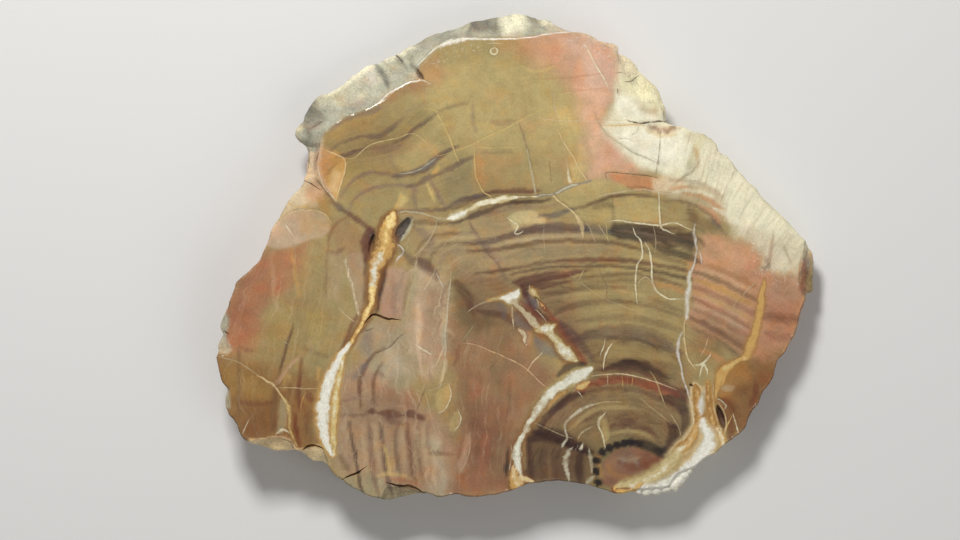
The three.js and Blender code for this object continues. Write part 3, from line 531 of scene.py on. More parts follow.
# soft strokes: tone, width, strength, line
# painted shade in the hollows on both sides of the ochre vein, over the grey and maroon of their stone
# painted shade in two creases and a notch of the broken shoulder, with a painted highlight on the ridge
# beside the first crease
# painted shade, darkest, in the hollow right of the ochre vein
# the hollow left of the ochre vein, painted dark: partly its maroon stone, partly painted shade
strokes = readMarks("""
# upper left
mauveDark 1 .75: -37 20.9 .3,-34.5 22.6 .45,-31 23.6 .7,-27.5 23.6 1.2,-25.2 25.1 1,-23.5 26.5 .6
 -22.3 27.6 .2
mauveDark 1 .85: -36 19.6 .2,-34 19.9 .8,-32 20.7 .7,-30 21.3 .3
mauve 1 .6: -29 21.3 .4,-26.5 21.2 1.6,-24 21.4 1.3,-22.8 22 .4
mauveDark 1 .8: -24.6 22.3 .3,-22.2 23.4 .6,-20.4 25.2 .9,-18.4 26.4 .6,-16 28.2 .35,-13 29.6 .35
 -9.5 30.5 .2
mauve .5 .5: -22.5 28,-20 29.6,-17 31
mauve 1 .8: -37 25 .4,-34.6 26.7 .8,-31 28.1 1,-28.2 29 1.1,-27 29.4 .4
mauve 1 .5: -8.6 30 .6,-8.6 27 1,-8 24.4 .5
salmonBrown 1.2 .5: -5 26.6,-2.5 26.4,-.5 26.8
mauve 1 .85: -35 11.4 .4,-33.6 13.8 .6,-31.5 15.7 .8,-29 16.4 .8,-26 16.2 .6,-23 15.8 .6
mauveDark 1 .85: -24.6 15.7 .6,-21.5 16.3 1.3,-19 17 1.5,-17 18.2 1.4,-15.3 19.8 1.1,-13.2 21 .8
 -11.5 21.8 .4
blueGrey .6 .9: -22.5 16.3,-19.5 17,-17.3 18.4,-15.6 19.7
mauve 1 .8: -33.4 9 .4,-32.2 11.2 .6,-30 12.8 .8,-27 13.7 .7,-24 14 .7,-21.4 13.7 .7,-19.6 12.6 .4
mauveDark 1 .75: -21.8 13.6 .6,-19.4 14.2 1,-17.4 15.6 1,-15.4 16.3 .7,-12.6 17.6 1.1,-10.4 18.9 1
 -8.6 19.6 .5
mauve 1 .65: -20.4 13 .7,-20.2 10.8 .8,-19.8 8.6 .5
mauve 1 .75: -17.8 15.5 .6,-16.4 13.6 .9,-15.2 11.4 .9,-14 9.6 .5
mauve .5 .5: -25.4 20.6,-24.6 18.2,-23.6 16
gold .6 .8: -17.8 14.2 .3,-17 12.8 .9,-16.3 10.8 .3
amber .6 .7: -16.6 16.2,-15.4 17.8
oliveDark .5 .5: -8 20.6,-4 20.5,0 20.7
orange 2 .4: -7.6 20,-7.2 16.6,-6.4 13.8
redBrown .35 .5: -38.6 15.4,-37 17,-35.6 18.8
pink .7 .6: -38.8 21.6,-39.4 18.6,-38.9 15.6,-37.4 12.8,-36 11
rustDark .7 .45: -39.8 22,-40 19,-40.4 16.4
mauveDark 1 .85: -36.9 10.8 .4,-35.5 9.7 1.3,-33.8 8.5 .8,-32 7.2 1.1,-30.4 6 .7,-28.4 4.4 .9
redBrown 1 .5: -34.4 8.8 .6,-32 7.2 1.3,-29 4.8 .8
brown .4 .85: -40.2 15.4,-38.4 13.2,-36.6 11
redBrown .5 .6: -33 8,-35 6.8,-36.4 5.4,-37.2 3.6,-37.7 .5
redBrown 1 .5: -37.4 1 .5,-36 .4 .9,-34.2 1.4 .5
darkBrown 1.6 .95: -28.3 5.2 .5,-29 3.4 1.5,-29.3 1.4 1.3,-29.8 -1 .7,-30.2 -4 .4
soot .8 .8: -28.2 4.4 .4,-28.9 3.2 1.4,-29.2 2 1.6,-29.6 .6 .6
brown .7 .5: -38.9 26.8,-40 26.2,-41.4 24.6,-41.7 23.4
shoulderDark 1.4 .5: -42 30,-40.4 28.6,-38 27
shoulderPale 1.2 .6: -37 30.4,-33.6 31,-30 32.4
ash 1 .6: -34.6 28.6,-31 30.2,-28.6 31.6
ash .9 .5: -24.6 37.4,-22.4 36,-20.4 35.6
shoulderPale 1 .6: -22.4 39,-20.6 38.6,-19.6 38.8
ash 1.2 .5: -18.6 41.4,-15 43,-11 44.6
shoulderPale .8 .6: -13 45.6,-9.6 46.6,-10.4 44.4
shoulderDark 1 .85: -28.4 38.4 .5,-27.4 37.4 1.2,-26.4 35.8 1.2,-25.8 34.4 .9,-25.4 33.2 .4
shoulderPale .5 .8: -26.6 38.8,-25.6 37.4,-24.6 35.8
shoulderDark .9 .6: -24 40,-23 38.6,-22 37.4
brown 1 .9: -19.7 37.2 .4,-19.2 35.9 1.1,-18.8 35.2 .6
# between the upper half and the bands
mauveDark 1 .85: -24.4 8.6 .4,-21 8.9 .7,-17.6 8.9 .8,-14.4 9.2 .9,-12.4 10.2 .9,-10 11.2 .9,-7 11.9 1
 -5.6 12 .5
maroon 1 .85: -6.2 12.4 .5,-3 12.7 1.1,0 12.8 1.1,3 12.8 .9,5 12.9 .4
slate 1 .7: -9.4 11.2 .4,-8 11.6 .9,-6.6 11.6 .8,-5.6 11.5 .3
darkBrown 1 .85: -13 6.5 .3,-11 6.8 .6,-9.6 7.8 .7,-7 8.8 .8,-4 9.7 .8,-1 10.4 .9,2 10.6 .9,5 10.7 .8
 7 11.2 .3
mauve 1 .6: -10 7.4 .6,-7 8 1.2,-3 9 1.2,1 9.6 1,5 9.6 .8,8 10 .4
slate 1 .7: 4.4 7.8 .5,7 7.9 1.2,9.6 8.6 .9,12 9.2 .4
brown .6 .85: 11.6 9.1,14 9.7,16 10.6,18 11.3,20.6 11.8,24 12,27 11.8,28.6 11.4
oliveBrown 1.4 .5: 15.6 9.4,17.6 10.2,19.6 9.6
oliveBrown .5 .6: 19.4 11.6,19.4 9,19.6 7
oliveBrown 1 .7: -21.4 6.2 .4,-19 6.6 .9,-16.4 6.4 .8,-14 6.2 .4
oliveBrown 1 .6: -19.8 .6 .4,-18.6 2.6 .7,-16.6 3.8 .8,-14 4.2 .7,-11 4.2 .7,-8 4.4 .4
oliveBrown 1 .6: -17.2 -3 .4,-17 -.6 .7,-15.6 1.4 .8,-13.4 2.4 .8,-10.6 2.4 .7,-8 2.2 .5
mauve 1 .5: -15.4 -3 .4,-15 -1.2 .7,-13.6 .2 .8,-11.4 .8 .7,-8.6 .8 .8
mauve 1 .75: -9.2 6.8 .5,-8.6 5 .7,-7.2 2.8 .8,-5.6 1 1.4,-4.2 -.8 1,-3 -3 .6,-2 -4.8 .4
khaki 1 .45: -20 5.5 .4,-16 5.5 .7,-12 5.2 .8,-9 5.2 .4
khaki 1 .45: -16.2 2.4 .4,-14 3.3 .7,-11 3.4 .7,-8 3.4 .4
mauveDark 1 .9: -10.4 2.4 .5,-7 2.6 1.1,-3.6 3.1 1.3,-.4 4.1 1.4,3 5 1.7,7 5.4 2,11 5.4 1.8,14 5.3 1.5
mauve 1.6 .6: -20.4 5.4,-18 4,-17 1.8,-19 0
maroon 1 .8: -20 -.6 .6,-18.4 -1.6 2,-16.6 -2.8 1.2,-15.4 -4 .4
brown 1 .8: -10 .9 .4,-8 .9 .7,-5 .9 .9,-1.6 1.5 1,2 2.2 1,6 2.7 1,10 2.9 .9,15 2.8 .9,20 2.4 .9,24 1.4 .5
creamTan 1 .5: -2 2.6 .4,2 3.1 .7,6 3.6 .8,10 3.9 .6,13 4 .4
oliveGrey 2 .35: -2 -.4,4 .4,12 .9,20 .6
mauve 1 .4: -6 -.4 .8,-4.6 .4 1.8,-3 -1 1
slate 1.7 .6: 13.4 5.2,16 5.2,19 4.6
black 1 .7: 27 2.4 .6,29.6 .9 1.5,32.6 .2 1.5,35.4 -.6 1.4,37 -1.4 .8
oliveDark 1 .6: 30.6 2.6 .5,33 1.9 1.1,36 .8 .7
brown 1 .6: 32.4 4.4 .6,34.6 3.6 1.2,36.6 3 1,37.6 1.8 .5
mauve .5 .5: 20 4.9,23 4.7,26 4.3,28 3.6
oliveBrown .5 .5: 27 5,29.6 4.2,32 3.4
darkBrown 1.2 .7: 29 5.2,31.4 5.4,34 5.1
oliveBrown 1 .6: 22 1.8 .5,26 .8 1,30 -.6 1,34 -1.8 .6
brown .6 .85: 29 10.9,32 10.9,35 10.3,37.4 9,39.6 7.2,41.4 5,42.2 4
brown 1.8 .5: 34.6 9.8,35.4 8,35.8 6.4
slate 1.1 .6: 39.4 6.8,41 5.8
salmonOrange 1 .7: 31 13.4 .5,33.4 13.5 .9,35.4 13.2 .5
salmonOrange 1 .7: 33.6 12.4 .4,36 12 .7,38.4 11.2 .9,40.6 9.8 .7,41.6 8.8 .3
cream 1 .6: 31.4 12.6 .4,34 13 .6,37 12.6 .8,39.6 11.6 .6
salmonOrange 1 .6: 36.8 9.9 .5,39 8.6 .9,41 6.4 .6
# bands round the pith, from the outer to the inner
brown 1 .85: -8 -3.8 .4,-4 -3.2 .6,0 -2.6 .8,5 -1.7 .8,10 -1.1 .9,15 -.9 1,20 -.9 1,25 -1.4 .9,30 -2.3 .8
 34 -3.2 .8
redBrown 1 .6: 8 -1.3 .5,13 -1.1 .8,18 -1.1 .7,22 -1.4 .4
darkBrown 1 .75: -1 -3.9 .4,3 -3 .6,7 -2.5 .6,11 -2.3 .6,16 -2.2 .6,21 -2.3 .6,26 -3 .7,31 -4 .8,35 -4.9 .7
maroon 1 .95: -.6 -5.4 .5,1.2 -5.4 1.9,3.4 -5 2.2,7 -4.3 2,10.4 -3.8 1.5,13 -3.2 .8,15 -2.9 .3
oliveDark 1 .5: -9 -5.6 .5,-6 -5.2 .7,-3.6 -4.9 .4
khaki .7 .4: 17 -3.2,22 -3,27 -3.8
brown 1 .55: 9 -5.8 .5,13 -4.7 .9,17 -4.2 .8,22 -3.8 .8,25 -3.9 .5
maroon 1 .8: 1.2 -6.4 1,4.6 -6.3 1.2,8 -5.8 .9,11 -5 .4
oliveDark .9 .6: 6 -7.6,11 -6.2,16 -5.4,22 -5,24 -5.2
brown .9 .6: 4.6 -7.8,8 -7.6,12 -6.9,17 -6.4,22 -6.4
khaki .6 .45: 7 -9,12 -7.8,18 -7.4,23 -7.6,30 -9.6
brown 1.2 .55: 8 -11.6 1,12 -10 1.5,17 -9.3 1.2,22 -9.4 .9,28 -10.6 .7,33 -12.4 .5
brown .8 .6: 25 -4.4,28 -4.6,31 -5.4,34 -6.6
orange 1 .5: 28 -5.9,31 -6.4,34 -7.4
oliveDark 1 .6: 26.4 -8.4,30 -10,33.6 -11.6
oliveDark 1.4 .65: 12 -13.4,17 -12.6,23 -12.6,29 -13.8,33 -15
mauveDark 1 .7: 12 -17 1.4,16 -15.9 2.2,20 -15.5 2.6,24 -15.9 2.6,28 -17 2.4,31 -18.4 2,33 -19.8 1
brown .5 .6: 14 -15.2,18 -14.3,23 -14.2,28 -15.2,32 -17
darkBrown .6 .6: 17 -17,21 -16.7,26 -17.5,31 -19.6
darkBrown 1 .95: 17.4 -23 .7,20 -22.2 1.4,23 -21.8 2.2,26 -22.4 2.2,28 -23.4 1.4,30.5 -24.8 .6
oliveBrown .8 .5: 14.6 -20.6,17 -19.4,17.4 -18
maroon .9 .7: 14.6 -23.3,20 -22.9,25 -23.6,30 -25.7,34 -28.2
rust 1 .9: 13.6 -25.8 .9,17 -25.3 1.5,20 -24.9 1.6,23 -25.1 1.6,27 -26.2 1.6,30.5 -27.3 1.6,32.4 -28.1 .8
maroon .8 .7: 29 -26.4,32 -27.6,34.4 -29.4
brown 1 .7: 13 -27.6 .7,18 -26.7 .8,24 -27.1 .9,29 -28.8 1.2,33 -31.2 1.6
oliveDark 1.6 .4: 12 -30.4,18 -28.4,24 -28.9,30 -31.6
mauveDark 3 .35: 7.4 -34.6,9 -31.4,12 -29.2,16 -28.2
darkBrown 1 .85: 29.4 -28.4 .8,31.4 -29 2,33.2 -30 2.6,34 -32 2.2,33.8 -34.4 1.4,33.4 -36 .8
maroon 1 .7: 32 -26.6 .6,33.6 -27.6 1.8,34.4 -29 1.2
darkBrown 1 .9: 13.4 -27.8 .8,11 -28.4 1.5,8.6 -30 1.7,6.4 -32.2 1.6,5 -34.2 1.4
darkBrown 1.2 .75: 2.6 -37 1.2,6 -36 3,10 -37 2.8,13.4 -38.6 1.6,15.4 -39.6 .6
brown 1 .6: 2.4 -38 .8,2.4 -41 1.2,2.6 -44.6 1.2
darkBrown 1 .7: 13 -37.6 .8,12.8 -40 1.4,12.6 -43 1.8,13.2 -46 1.6
oliveDark 2 .7: 5 -39,5.6 -43,5.6 -46
brown .6 .6: 9 -38,8.2 -41,8 -45.6
khaki .7 .35: 7 -38.4,6.6 -41,6.8 -45.6
oliveDark 1.6 .5: 4.6 -39,7 -40.6,8 -44
brown 1 .6: 12.8 -33.8,14.8 -32.4,17 -31.6
khaki .9 .5: 11 -35,13 -32.8,16 -31,20 -30.4,25 -31
maroon 1 .6: 18.2 -34.4 .8,20.6 -34 1.4,23.6 -34.2 1.6,26.6 -35 1.2,28 -35.8 .6
maroon 1 .5: 20 -32.8 .8,22 -32.9 1.4,24 -33.2 .8
brown 1.1 .25: 18 -32.6,22 -32,26 -32.8,29 -34.4
khaki .8 .6: 18 -35.8,22 -35.2,26 -35.9,29 -37.2
khaki 1.4 .7: 16.9 -32.4,17.8 -34.8,18 -37.4
darkBrown 1 .9: 30.4 -33.8 .8,31.6 -35 2.2,31.4 -37 2.2,30.2 -38.6 1.4
# right of the white vein
ochreBrown 1.2 .45: 37 -1.7,41 -3,45 -4.8,48 -6.4
peach .8 .35: 36.6 -2.6,41 -4.2,45 -6.2,48.4 -8
oliveBrown 1 .7: 34.6 -3.4 .7,38 -4 1,41 -5.3 1,44.6 -7.1 1,48 -9 .7,50 -10.2 .4
ochre 1.1 .7: 35.6 -4.9,40 -6.4,44 -8.3,48 -10.3
salmonBrown 1 .75: 35 -6.2 .8,39 -7.6 1.2,43.5 -9.7 1.3,47.6 -11.6 1.3,52 -12.8 1.6,56.4 -13.2 1.4
oliveYellow .7 .45: 35.4 -7.4,39.6 -9,44 -11.2,47.4 -13
redBrown 1 .5: 35 -8.6 .7,39.6 -10.5 1,43.6 -12.7 1,47 -14.6 .8
tanPale .7 .5: 36 -9.8,40 -11.5,44 -13.7,47 -15.4
salmonBrown 1 .5: 36 -11,40 -12.8,44 -15,47 -16.8
brown 1 .7: 35 -12.6 .7,38.6 -14.2 1.1,42 -16.2 1.3,45.6 -18.6 1
oliveBrown 1 .6: 35.4 -14.6,39 -16.2,42.6 -18.6,44.6 -20.4
oliveDark .5 .5: 35 -10.6,38 -12,41 -13.8
orange 1 .5: 36.6 -19,39.6 -20,42 -21.6
redBrown 1 .35: 50.6 -11.8 1,53.6 -12.2 1.4,56.8 -12.6 1
redBrown 1.6 .35: 50 -15.6,53 -16.4,55.6 -16.6
redBrown 1.2 .7: 48.2 -25.4,48 -28,47 -30.4
rustDark 1.2 .6: 41 -28.8,42.6 -29.6,43.8 -31.6
creamTan 1.4 .6: 41 -26.4,42.4 -26.8,43.6 -26.6
# round the star vein and down the left
mauve 1.8 .4: -9.5 -11,-6 -9.8,-3 -11.5,-1.5 -14
brown 1 .7: -7.8 -11.2 .6,-5 -11.7 1.2,-2.6 -12.2 1.3,-.8 -13.4 1,.2 -14.6 .5
creamTan 1 .6: 2.3 -15.4 .6,2.5 -16.6 1.3,2.2 -17.8 .8
oliveBrown .7 .5: -1.2 -25,-1.4 -27.4,-1.2 -30,-2 -32
oliveDark 1.6 .35: -5 -21.6,-3.6 -26,-3.4 -30
salmonDeep 2.4 .3: -8.6 -25,-8 -27,-8.4 -29
salmonDeep 2 .3: -5.8 -36,-6.2 -39.6,-6.6 -44
peach 1 .25: -9.8 -36,-10.2 -39,-11.4 -42
brown 1 .7: -12 -5.5 1.4,-10 -8 2,-9 -10.5 1.2,-8.4 -12 .6
oliveDark 1 .6: -8 -13.4,-9.4 -15.4,-10.6 -17.4
redBrown .8 .5: -11.4 -18,-11.8 -20.4,-12.4 -22
blueGrey .8 1: 1.8 -7.4 .6,2.5 -8.6 2.3,3.3 -9.8 2,4 -11 .6
blueGrey 1 .7: -.2 -11.6 .8,.8 -13.4 1.8,2.4 -14.6 1.4
blueGrey 1 .5: -3.6 -9.8 .6,-2.8 -10.6 1.6,-2.2 -12.4 .8
blueGrey 1 .7: 4.2 -16.8 1.2,5.4 -18.6 2.6,7.4 -19.4 2,9 -20.4 1
orange .8 .8: 9.6 -17.6 .4,11.4 -19.4 .8,12.8 -20.8 1.2,13.8 -21.8 .6
rust 1 .7: 6.8 -13.4 .5,8.6 -15.6 .8,10.6 -17.8 .8,12.4 -20 .8,13.4 -21.4 .5
maroon 1 .9: 1.2 -6 .6,1.6 -7.2 1.2,2.6 -9.6 .7,4.4 -11.6 1.3,6.4 -13 1,7.4 -13.6 .4
rust 1 .7: .4 -9 .4,1.8 -10 .7,3.4 -11.4 .8,4.8 -13 .6
salmonBrown 1 .5: 8.4 -13 1,10.6 -15.4 2.4,12.6 -17.6 2,14 -20.4 1
rust 1 .85: 5.8 -10.8 .4,7.6 -12.8 .9,9 -14.8 1.4,11 -17.2 1.1,12.6 -19.4 .8,14 -21.6 .7
stain 1 .7: 4.4 -13.6 .6,4.8 -15.6 1.6,5.4 -16.6 .8
stain 1 .5: 2.6 -15.4 .6,3 -16.6 1.4,2.4 -18 .6
darkBrown 1 .95: -25.9 -1.4 .6,-26.6 -4 1.2,-27.1 -7 1.1,-27.6 -10 .8,-27.8 -11.4 .4
mauveDark 1.2 .2: -24.8 -4,-24.4 -8,-24.4 -12
brown .4 .6: -21 -5,-22 -8,-22.6 -12
brown 1 .9: -26.4 -18.4 .3,-28.4 -19.9 .6,-30 -22 1,-31 -24.6 1,-31.2 -27.4 .8,-31 -30.4 .4
brown 1 .85: -26.6 -21.6 .3,-28 -23.8 .7,-28.6 -26 .8,-28.5 -28.4 .5,-28 -30 .3
brown .7 .7: -27.4 -23.4,-26.6 -24.4
blueGrey 1.2 .45: -29.6 -21.6,-31 -23,-32.4 -25
mauve .7 .6: -35.5 -29.6,-33 -28.8,-30 -28.4
maroon .4 .7: -35.4 -32.2,-32 -32,-29 -31.9
maroon 1 .9: -29.6 -31.3 .4,-28.6 -31.2 1.3,-27.6 -31.5 .6,-25.6 -31.6 1.8,-24 -31.8 1.7,-22.6 -32 .7
 -21.2 -31.8 1.6,-19.8 -32.3 1.1,-18.6 -32.6 1.2
maroon 1 .6: -26 -32.8 .6,-24.6 -33.2 1.6,-23 -33.6 .6
darkBrown 1 .85: -33.4 -33.4 .4,-33 -36 .5,-32.3 -39 .8,-31.8 -42 .6,-31 -46 .7,-30.6 -48 .4
mauve 1.1 .85: -29.5 -33,-29 -38,-28.5 -43,-27.5 -48
peachPale .8 .25: -30.8 -34,-30.4 -38,-30 -43
creamTan .7 .45: -28.3 -33.6,-28 -38,-27 -43
mauveDark 1 .85: -27.2 -33.6,-26.5 -38,-25.9 -43,-24.6 -48.4
gold .8 .6: -26.4 -38,-25.6 -41,-25.2 -44
gold .7 .35: -24.6 -37,-24.6 -40,-24.2 -43.6
mauveDark .9 .55: -23.6 -34,-24.2 -38,-23.4 -43,-23 -48
peachPale .8 .25: -22.8 -34.6,-22.6 -39,-22 -43
redBrown 1 .7: -21.8 -33.5,-21.3 -38,-20.6 -44,-20 -46
peachPale .8 .2: -18.6 -33.6,-18.4 -38,-17.6 -44
brown .35 .85: -19.8 -33,-19.6 -38,-19.2 -42,-18.4 -46.4
oliveBrown 1.2 .6: -35.4 -40,-34.4 -41.6,-33.4 -43
gold .6 .6: -28 -44,-24.6 -43.8,-21 -44.6
salmonDeep 1 .6: -25 -44.8,-22 -45.2,-19 -46.2
brown 1 .6: -17.2 -39.5 .6,-16 -39.6 1.2,-14.8 -39.7 .7,-12.6 -40 .4
mauve .8 .45: -17.6 -33.6,-17.6 -37,-17 -40
peachPale 1 .6: -19.6 -10 .6,-19.4 -14 1.4,-19.6 -18 .8,-18.6 -24 .5
greyPale 1 .6: -14.4 -20 .6,-14.4 -16 1,-14 -12 .7
peachPale .7 .6: -15.2 -26,-14.4 -23,-14 -21
orange 1.4 .2: -11.4 -43.6,-11 -45.4,-10 -47
soot .8 .85: -1.4 -38.6 .4,-1.6 -40.4 .9,-1.9 -42.8 1.1,-1.7 -44 .6
khaki .7 .8: 1.5 -36.9 .6,1.6 -39.6 .8,1.7 -42.6 .7
# left side
brown .5 .85: -44.4 -14.4,-45.3 -16.6,-46 -19,-46.8 -22,-47.6 -24.6
redBrown .7 .8: -42.7 -20.4 .3,-43.1 -23 .7,-43.4 -26 .8
redBrown 1.2 .8: -43.5 -26,-43.3 -28.6,-43 -31
redBrown 1.4 .6: -41.6 -27.4,-40.8 -29.4
rustDark .9 .9: -44.2 -31.6,-43.9 -35,-43 -38.6
brown .4 .65: -55.2 -17.6,-55.3 -24,-55.2 -33
brown 1.3 .6: -48 -26,-48.2 -30,-48.4 -35
greyGreen 1.5 .85: -46.6 -29 .8,-46.6 -32 1.8,-47 -35 1.4
redBrown .9 .6: -55.4 -29.3,-52 -29.6,-48.6 -29.3
redBrown .6 .5: -55 -18.4,-53 -19.2,-52 -19
brown .45 .5: -37.7 .4,-37.8 -3,-38 -7,-38 -9
amber .6 .4: -44.9 1.6,-44.4 -2,-43.9 -5,-43.2 -8.4
peach .7 .25: -48.8 .4,-48.5 -5,-48 -9.4,-47 -11.6
pink .7 .4: -48.4 -26.4,-46.8 -24.2,-44.6 -21.6,-42.8 -20.4
gold .6 .45: -45 -25,-46 -23.4,-46.4 -27
brown .45 .75: -29.9 -2,-30.2 -6,-30.3 -10
redBrown .9 .75: -35.4 -19.4,-33.6 -16.4,-32.4 -13.4,-31.6 -12
oliveDark 1 .5: -42.4 -18.6,-40 -19.6,-37.6 -20.4
amber .6 .5: -39.4 -22.4,-39.6 -25
# rim and cream zone
oliveGrey .5 .35: 15.7 29,16.6 26.2,18.6 23.7,21.4 22,23.6 20.5,26.4 19.3,28.6 18.2
greyGreen .7 .5: 36.8 18.8,35.5 17,34 16,32.5 15,31.6 13.8
straw 1.6 .8: 34.6 18,36 20.5,37.6 24
greyGreen 1.6 .45: 34.8 17.4,35.6 19.4,35.4 21.4
stain 1 .4: 26 25.4 .5,27.4 25.2 1.5,29.2 25.2 1.2,30.4 25.2 1.5,32 25.2 1,33 25.6 .4
brown 1 .6: 26.6 26 .5,27.4 25.3 .8,28 25.6 .6,28.8 24.6 .7
brown 1 .6: 29.4 25.4 .5,30.2 24.7 .8,31 25.4 .8,31.8 25.7 .6
gold 1 .6: 26.2 24.8 .4,29 24 .9,32 24.2 .5
creamTan 1 .5: 24.6 29.6,26.6 28.8,28.4 29
stain .8 .5: 35.8 22,36.3 20,36.7 17.8
mauve 1 .45: 30.8 15.2 .4,31.4 15.1 .6,34.6 14.9 .7,37.4 14.2 .8,39.8 12.9 .9,41.6 11.6 .6
creamTan 1 .6: 36 13.8 .4,38.6 13 1,41 11.4 1.2,42 10 .5
tan .6 .55: 51.6 3.8,51.2 .6,50.4 -2
tan .5 .5: 53.4 2,54.4 0,55.4 -2.6
tan .6 .5: 57.6 1,57 -1.6,56.8 -4.4
redBrown 1.2 .6: 58.4 .6,58.2 -2,57.8 -5,57.6 -8
salmonDeep 1.2 .7: 57.8 -1,57.6 -4,57.2 -7
stain 1 .6: 59.2 .6,59.4 -1.6,59 -4
greyGreen .8 .7: 59.8 -1,59.8 -3.6,59.6 -6.4
oliveGrey .9 .6: 49.4 -2.8,50.6 -2.2,50 -.6
# darker shades round the veins and the pith
darkBrown 1 .95: 40.4 -30.4 .5,41 -31.6 1.4,41.5 -33 1.5,41.8 -34.4 .7
redBrown 1 .7: 43.2 -33 .4,43.2 -34.6 1.4,43 -36.2 1.4,42.8 -37 .6
slate 1 .95: -20.9 7.3 .8,-22 6.1 2.2,-23.2 4.2 2.1,-23.9 2.6 .7
maroon 1 .9: -29 5.4 .8,-29.8 3.4 2.2,-29.8 1 2,-30 -1 .9
mauveDark 1 .6: -23 1 .6,-21 -1 1.6,-18.4 -2 2.2,-16 -4.4 1.4
darkBrown 1 .7: -13.6 6.4 .4,-11 6.9 .7,-7 8.2 .8,-3 9.8 .7,3 10.6 .6
brown 1 .7: -12.6 9.2 .5,-10 10.4 .9,-6.6 11.6 .7
darkBrown 1 .5: 2.6 -37.8 1,2.9 -40.6 1.2,3 -44.8 1
darkBrown 1 .85: 3.4 -35.2 1,7 -36.2 1.8,11 -37.8 1.6,14.6 -39.8 .8
soot 1 .95: 23 -37.5 1.3,25 -37.8 1.9,27 -38.4 2,28.8 -39.3 2.1,30.2 -40.2 2,30.8 -41 .9
soot 1 .6: -21.3 6.9 .4,-22.4 5.6 1.3,-23.2 4.3 1.2,-23.7 3.2 .5
ghost 1 .4: 21 -40.6 .4,21.4 -41.4 .8,21.2 -42 .4
ghost 1 .3: 23.6 -41 .4,24.4 -42 .7,24.2 -42.8 .4
darkBrown 1 .8: 6.4 -31.6 .6,8.6 -30.2 1.3,11 -28.4 1.1,13.2 -27.9 .5
brown 1 .7: 25.6 -34.6 .6,27.4 -36 1,29 -37.4 .8
mauveDark 1 .7: 9 -13.4 .8,11 -16 2,13.6 -18.4 1.6,15.4 -21 .8
oliveBrown .8 .55: -2 1.2,1 1.7,5 1.2
orange 1 .6: 17 -39.4,16.6 -42,17.4 -44.6
rust 1 .6: 20.6 -41.4 .8,24 -42.6 1.8,27.4 -41.6 1.4,29.4 -40.4 .6
peach 1 .25: 20.6 -40.6 .5,22.6 -41 .9,25 -40.4 .5
orange 1 .5: 18.4 -42.4 .6,20 -44 1.2,23 -44.6 .8
black .7 .9: 8.4 -24.2 .6,10.2 -22.6 1.5,12.2 -21.9 1.6,13.8 -22 .8
""")
# washes over ground and strokes: how much of its red, green and blue a zone keeps, softness,
# outline
washes = readMarks("""
.86 .81 .85 3: -12 -3,-2 -4,8 -5,12 -8,14 -14,15 -20,8 -18,0 -16,-6 -15,-12 -11
.9 .86 .84 3: 14 -16,20 -17,27 -18,32 -21,30 -25,24 -23,16 -23,13 -20
.76 .7 .74 2: 1 -35,6 -34,12 -36,15 -39,15 -46,1 -46
.99 .97 .97 3: 5 -30,12 -27,22 -26,32 -29,34 -34,30 -39,20 -36,10 -36,4 -35
.85 .9 .88 2: 16 -40,20 -38,26 -38,30 -41,24 -46,16 -47
1.05 1.05 1.05 4: 4 14,16 14,18 36,6 38
.97 .92 .88 4: -60 -18,-44 -20,-42 -38,-56 -38
.94 .95 .97 4: -58 0,-50 4,-48 -16,-60 -16
.95 .9 .92 4: -14 -30,0 -30,0 -48,-14 -48
.98 .95 .93 4: -34 -26,-16 -24,-16 -48,-34 -48
1.05 1 1.02 4: -32 -12,-20 -10,-18 -24,-32 -26
.94 .92 .93 4: 46 -2,58 -4,56 -20,44 -22
.96 .92 .91 3: 40 -22,55 -22,50 -34,42 -36
.96 .93 .92 3: -44 20,-36 24,-24 28,-24 18,-36 14,-40 8
""")
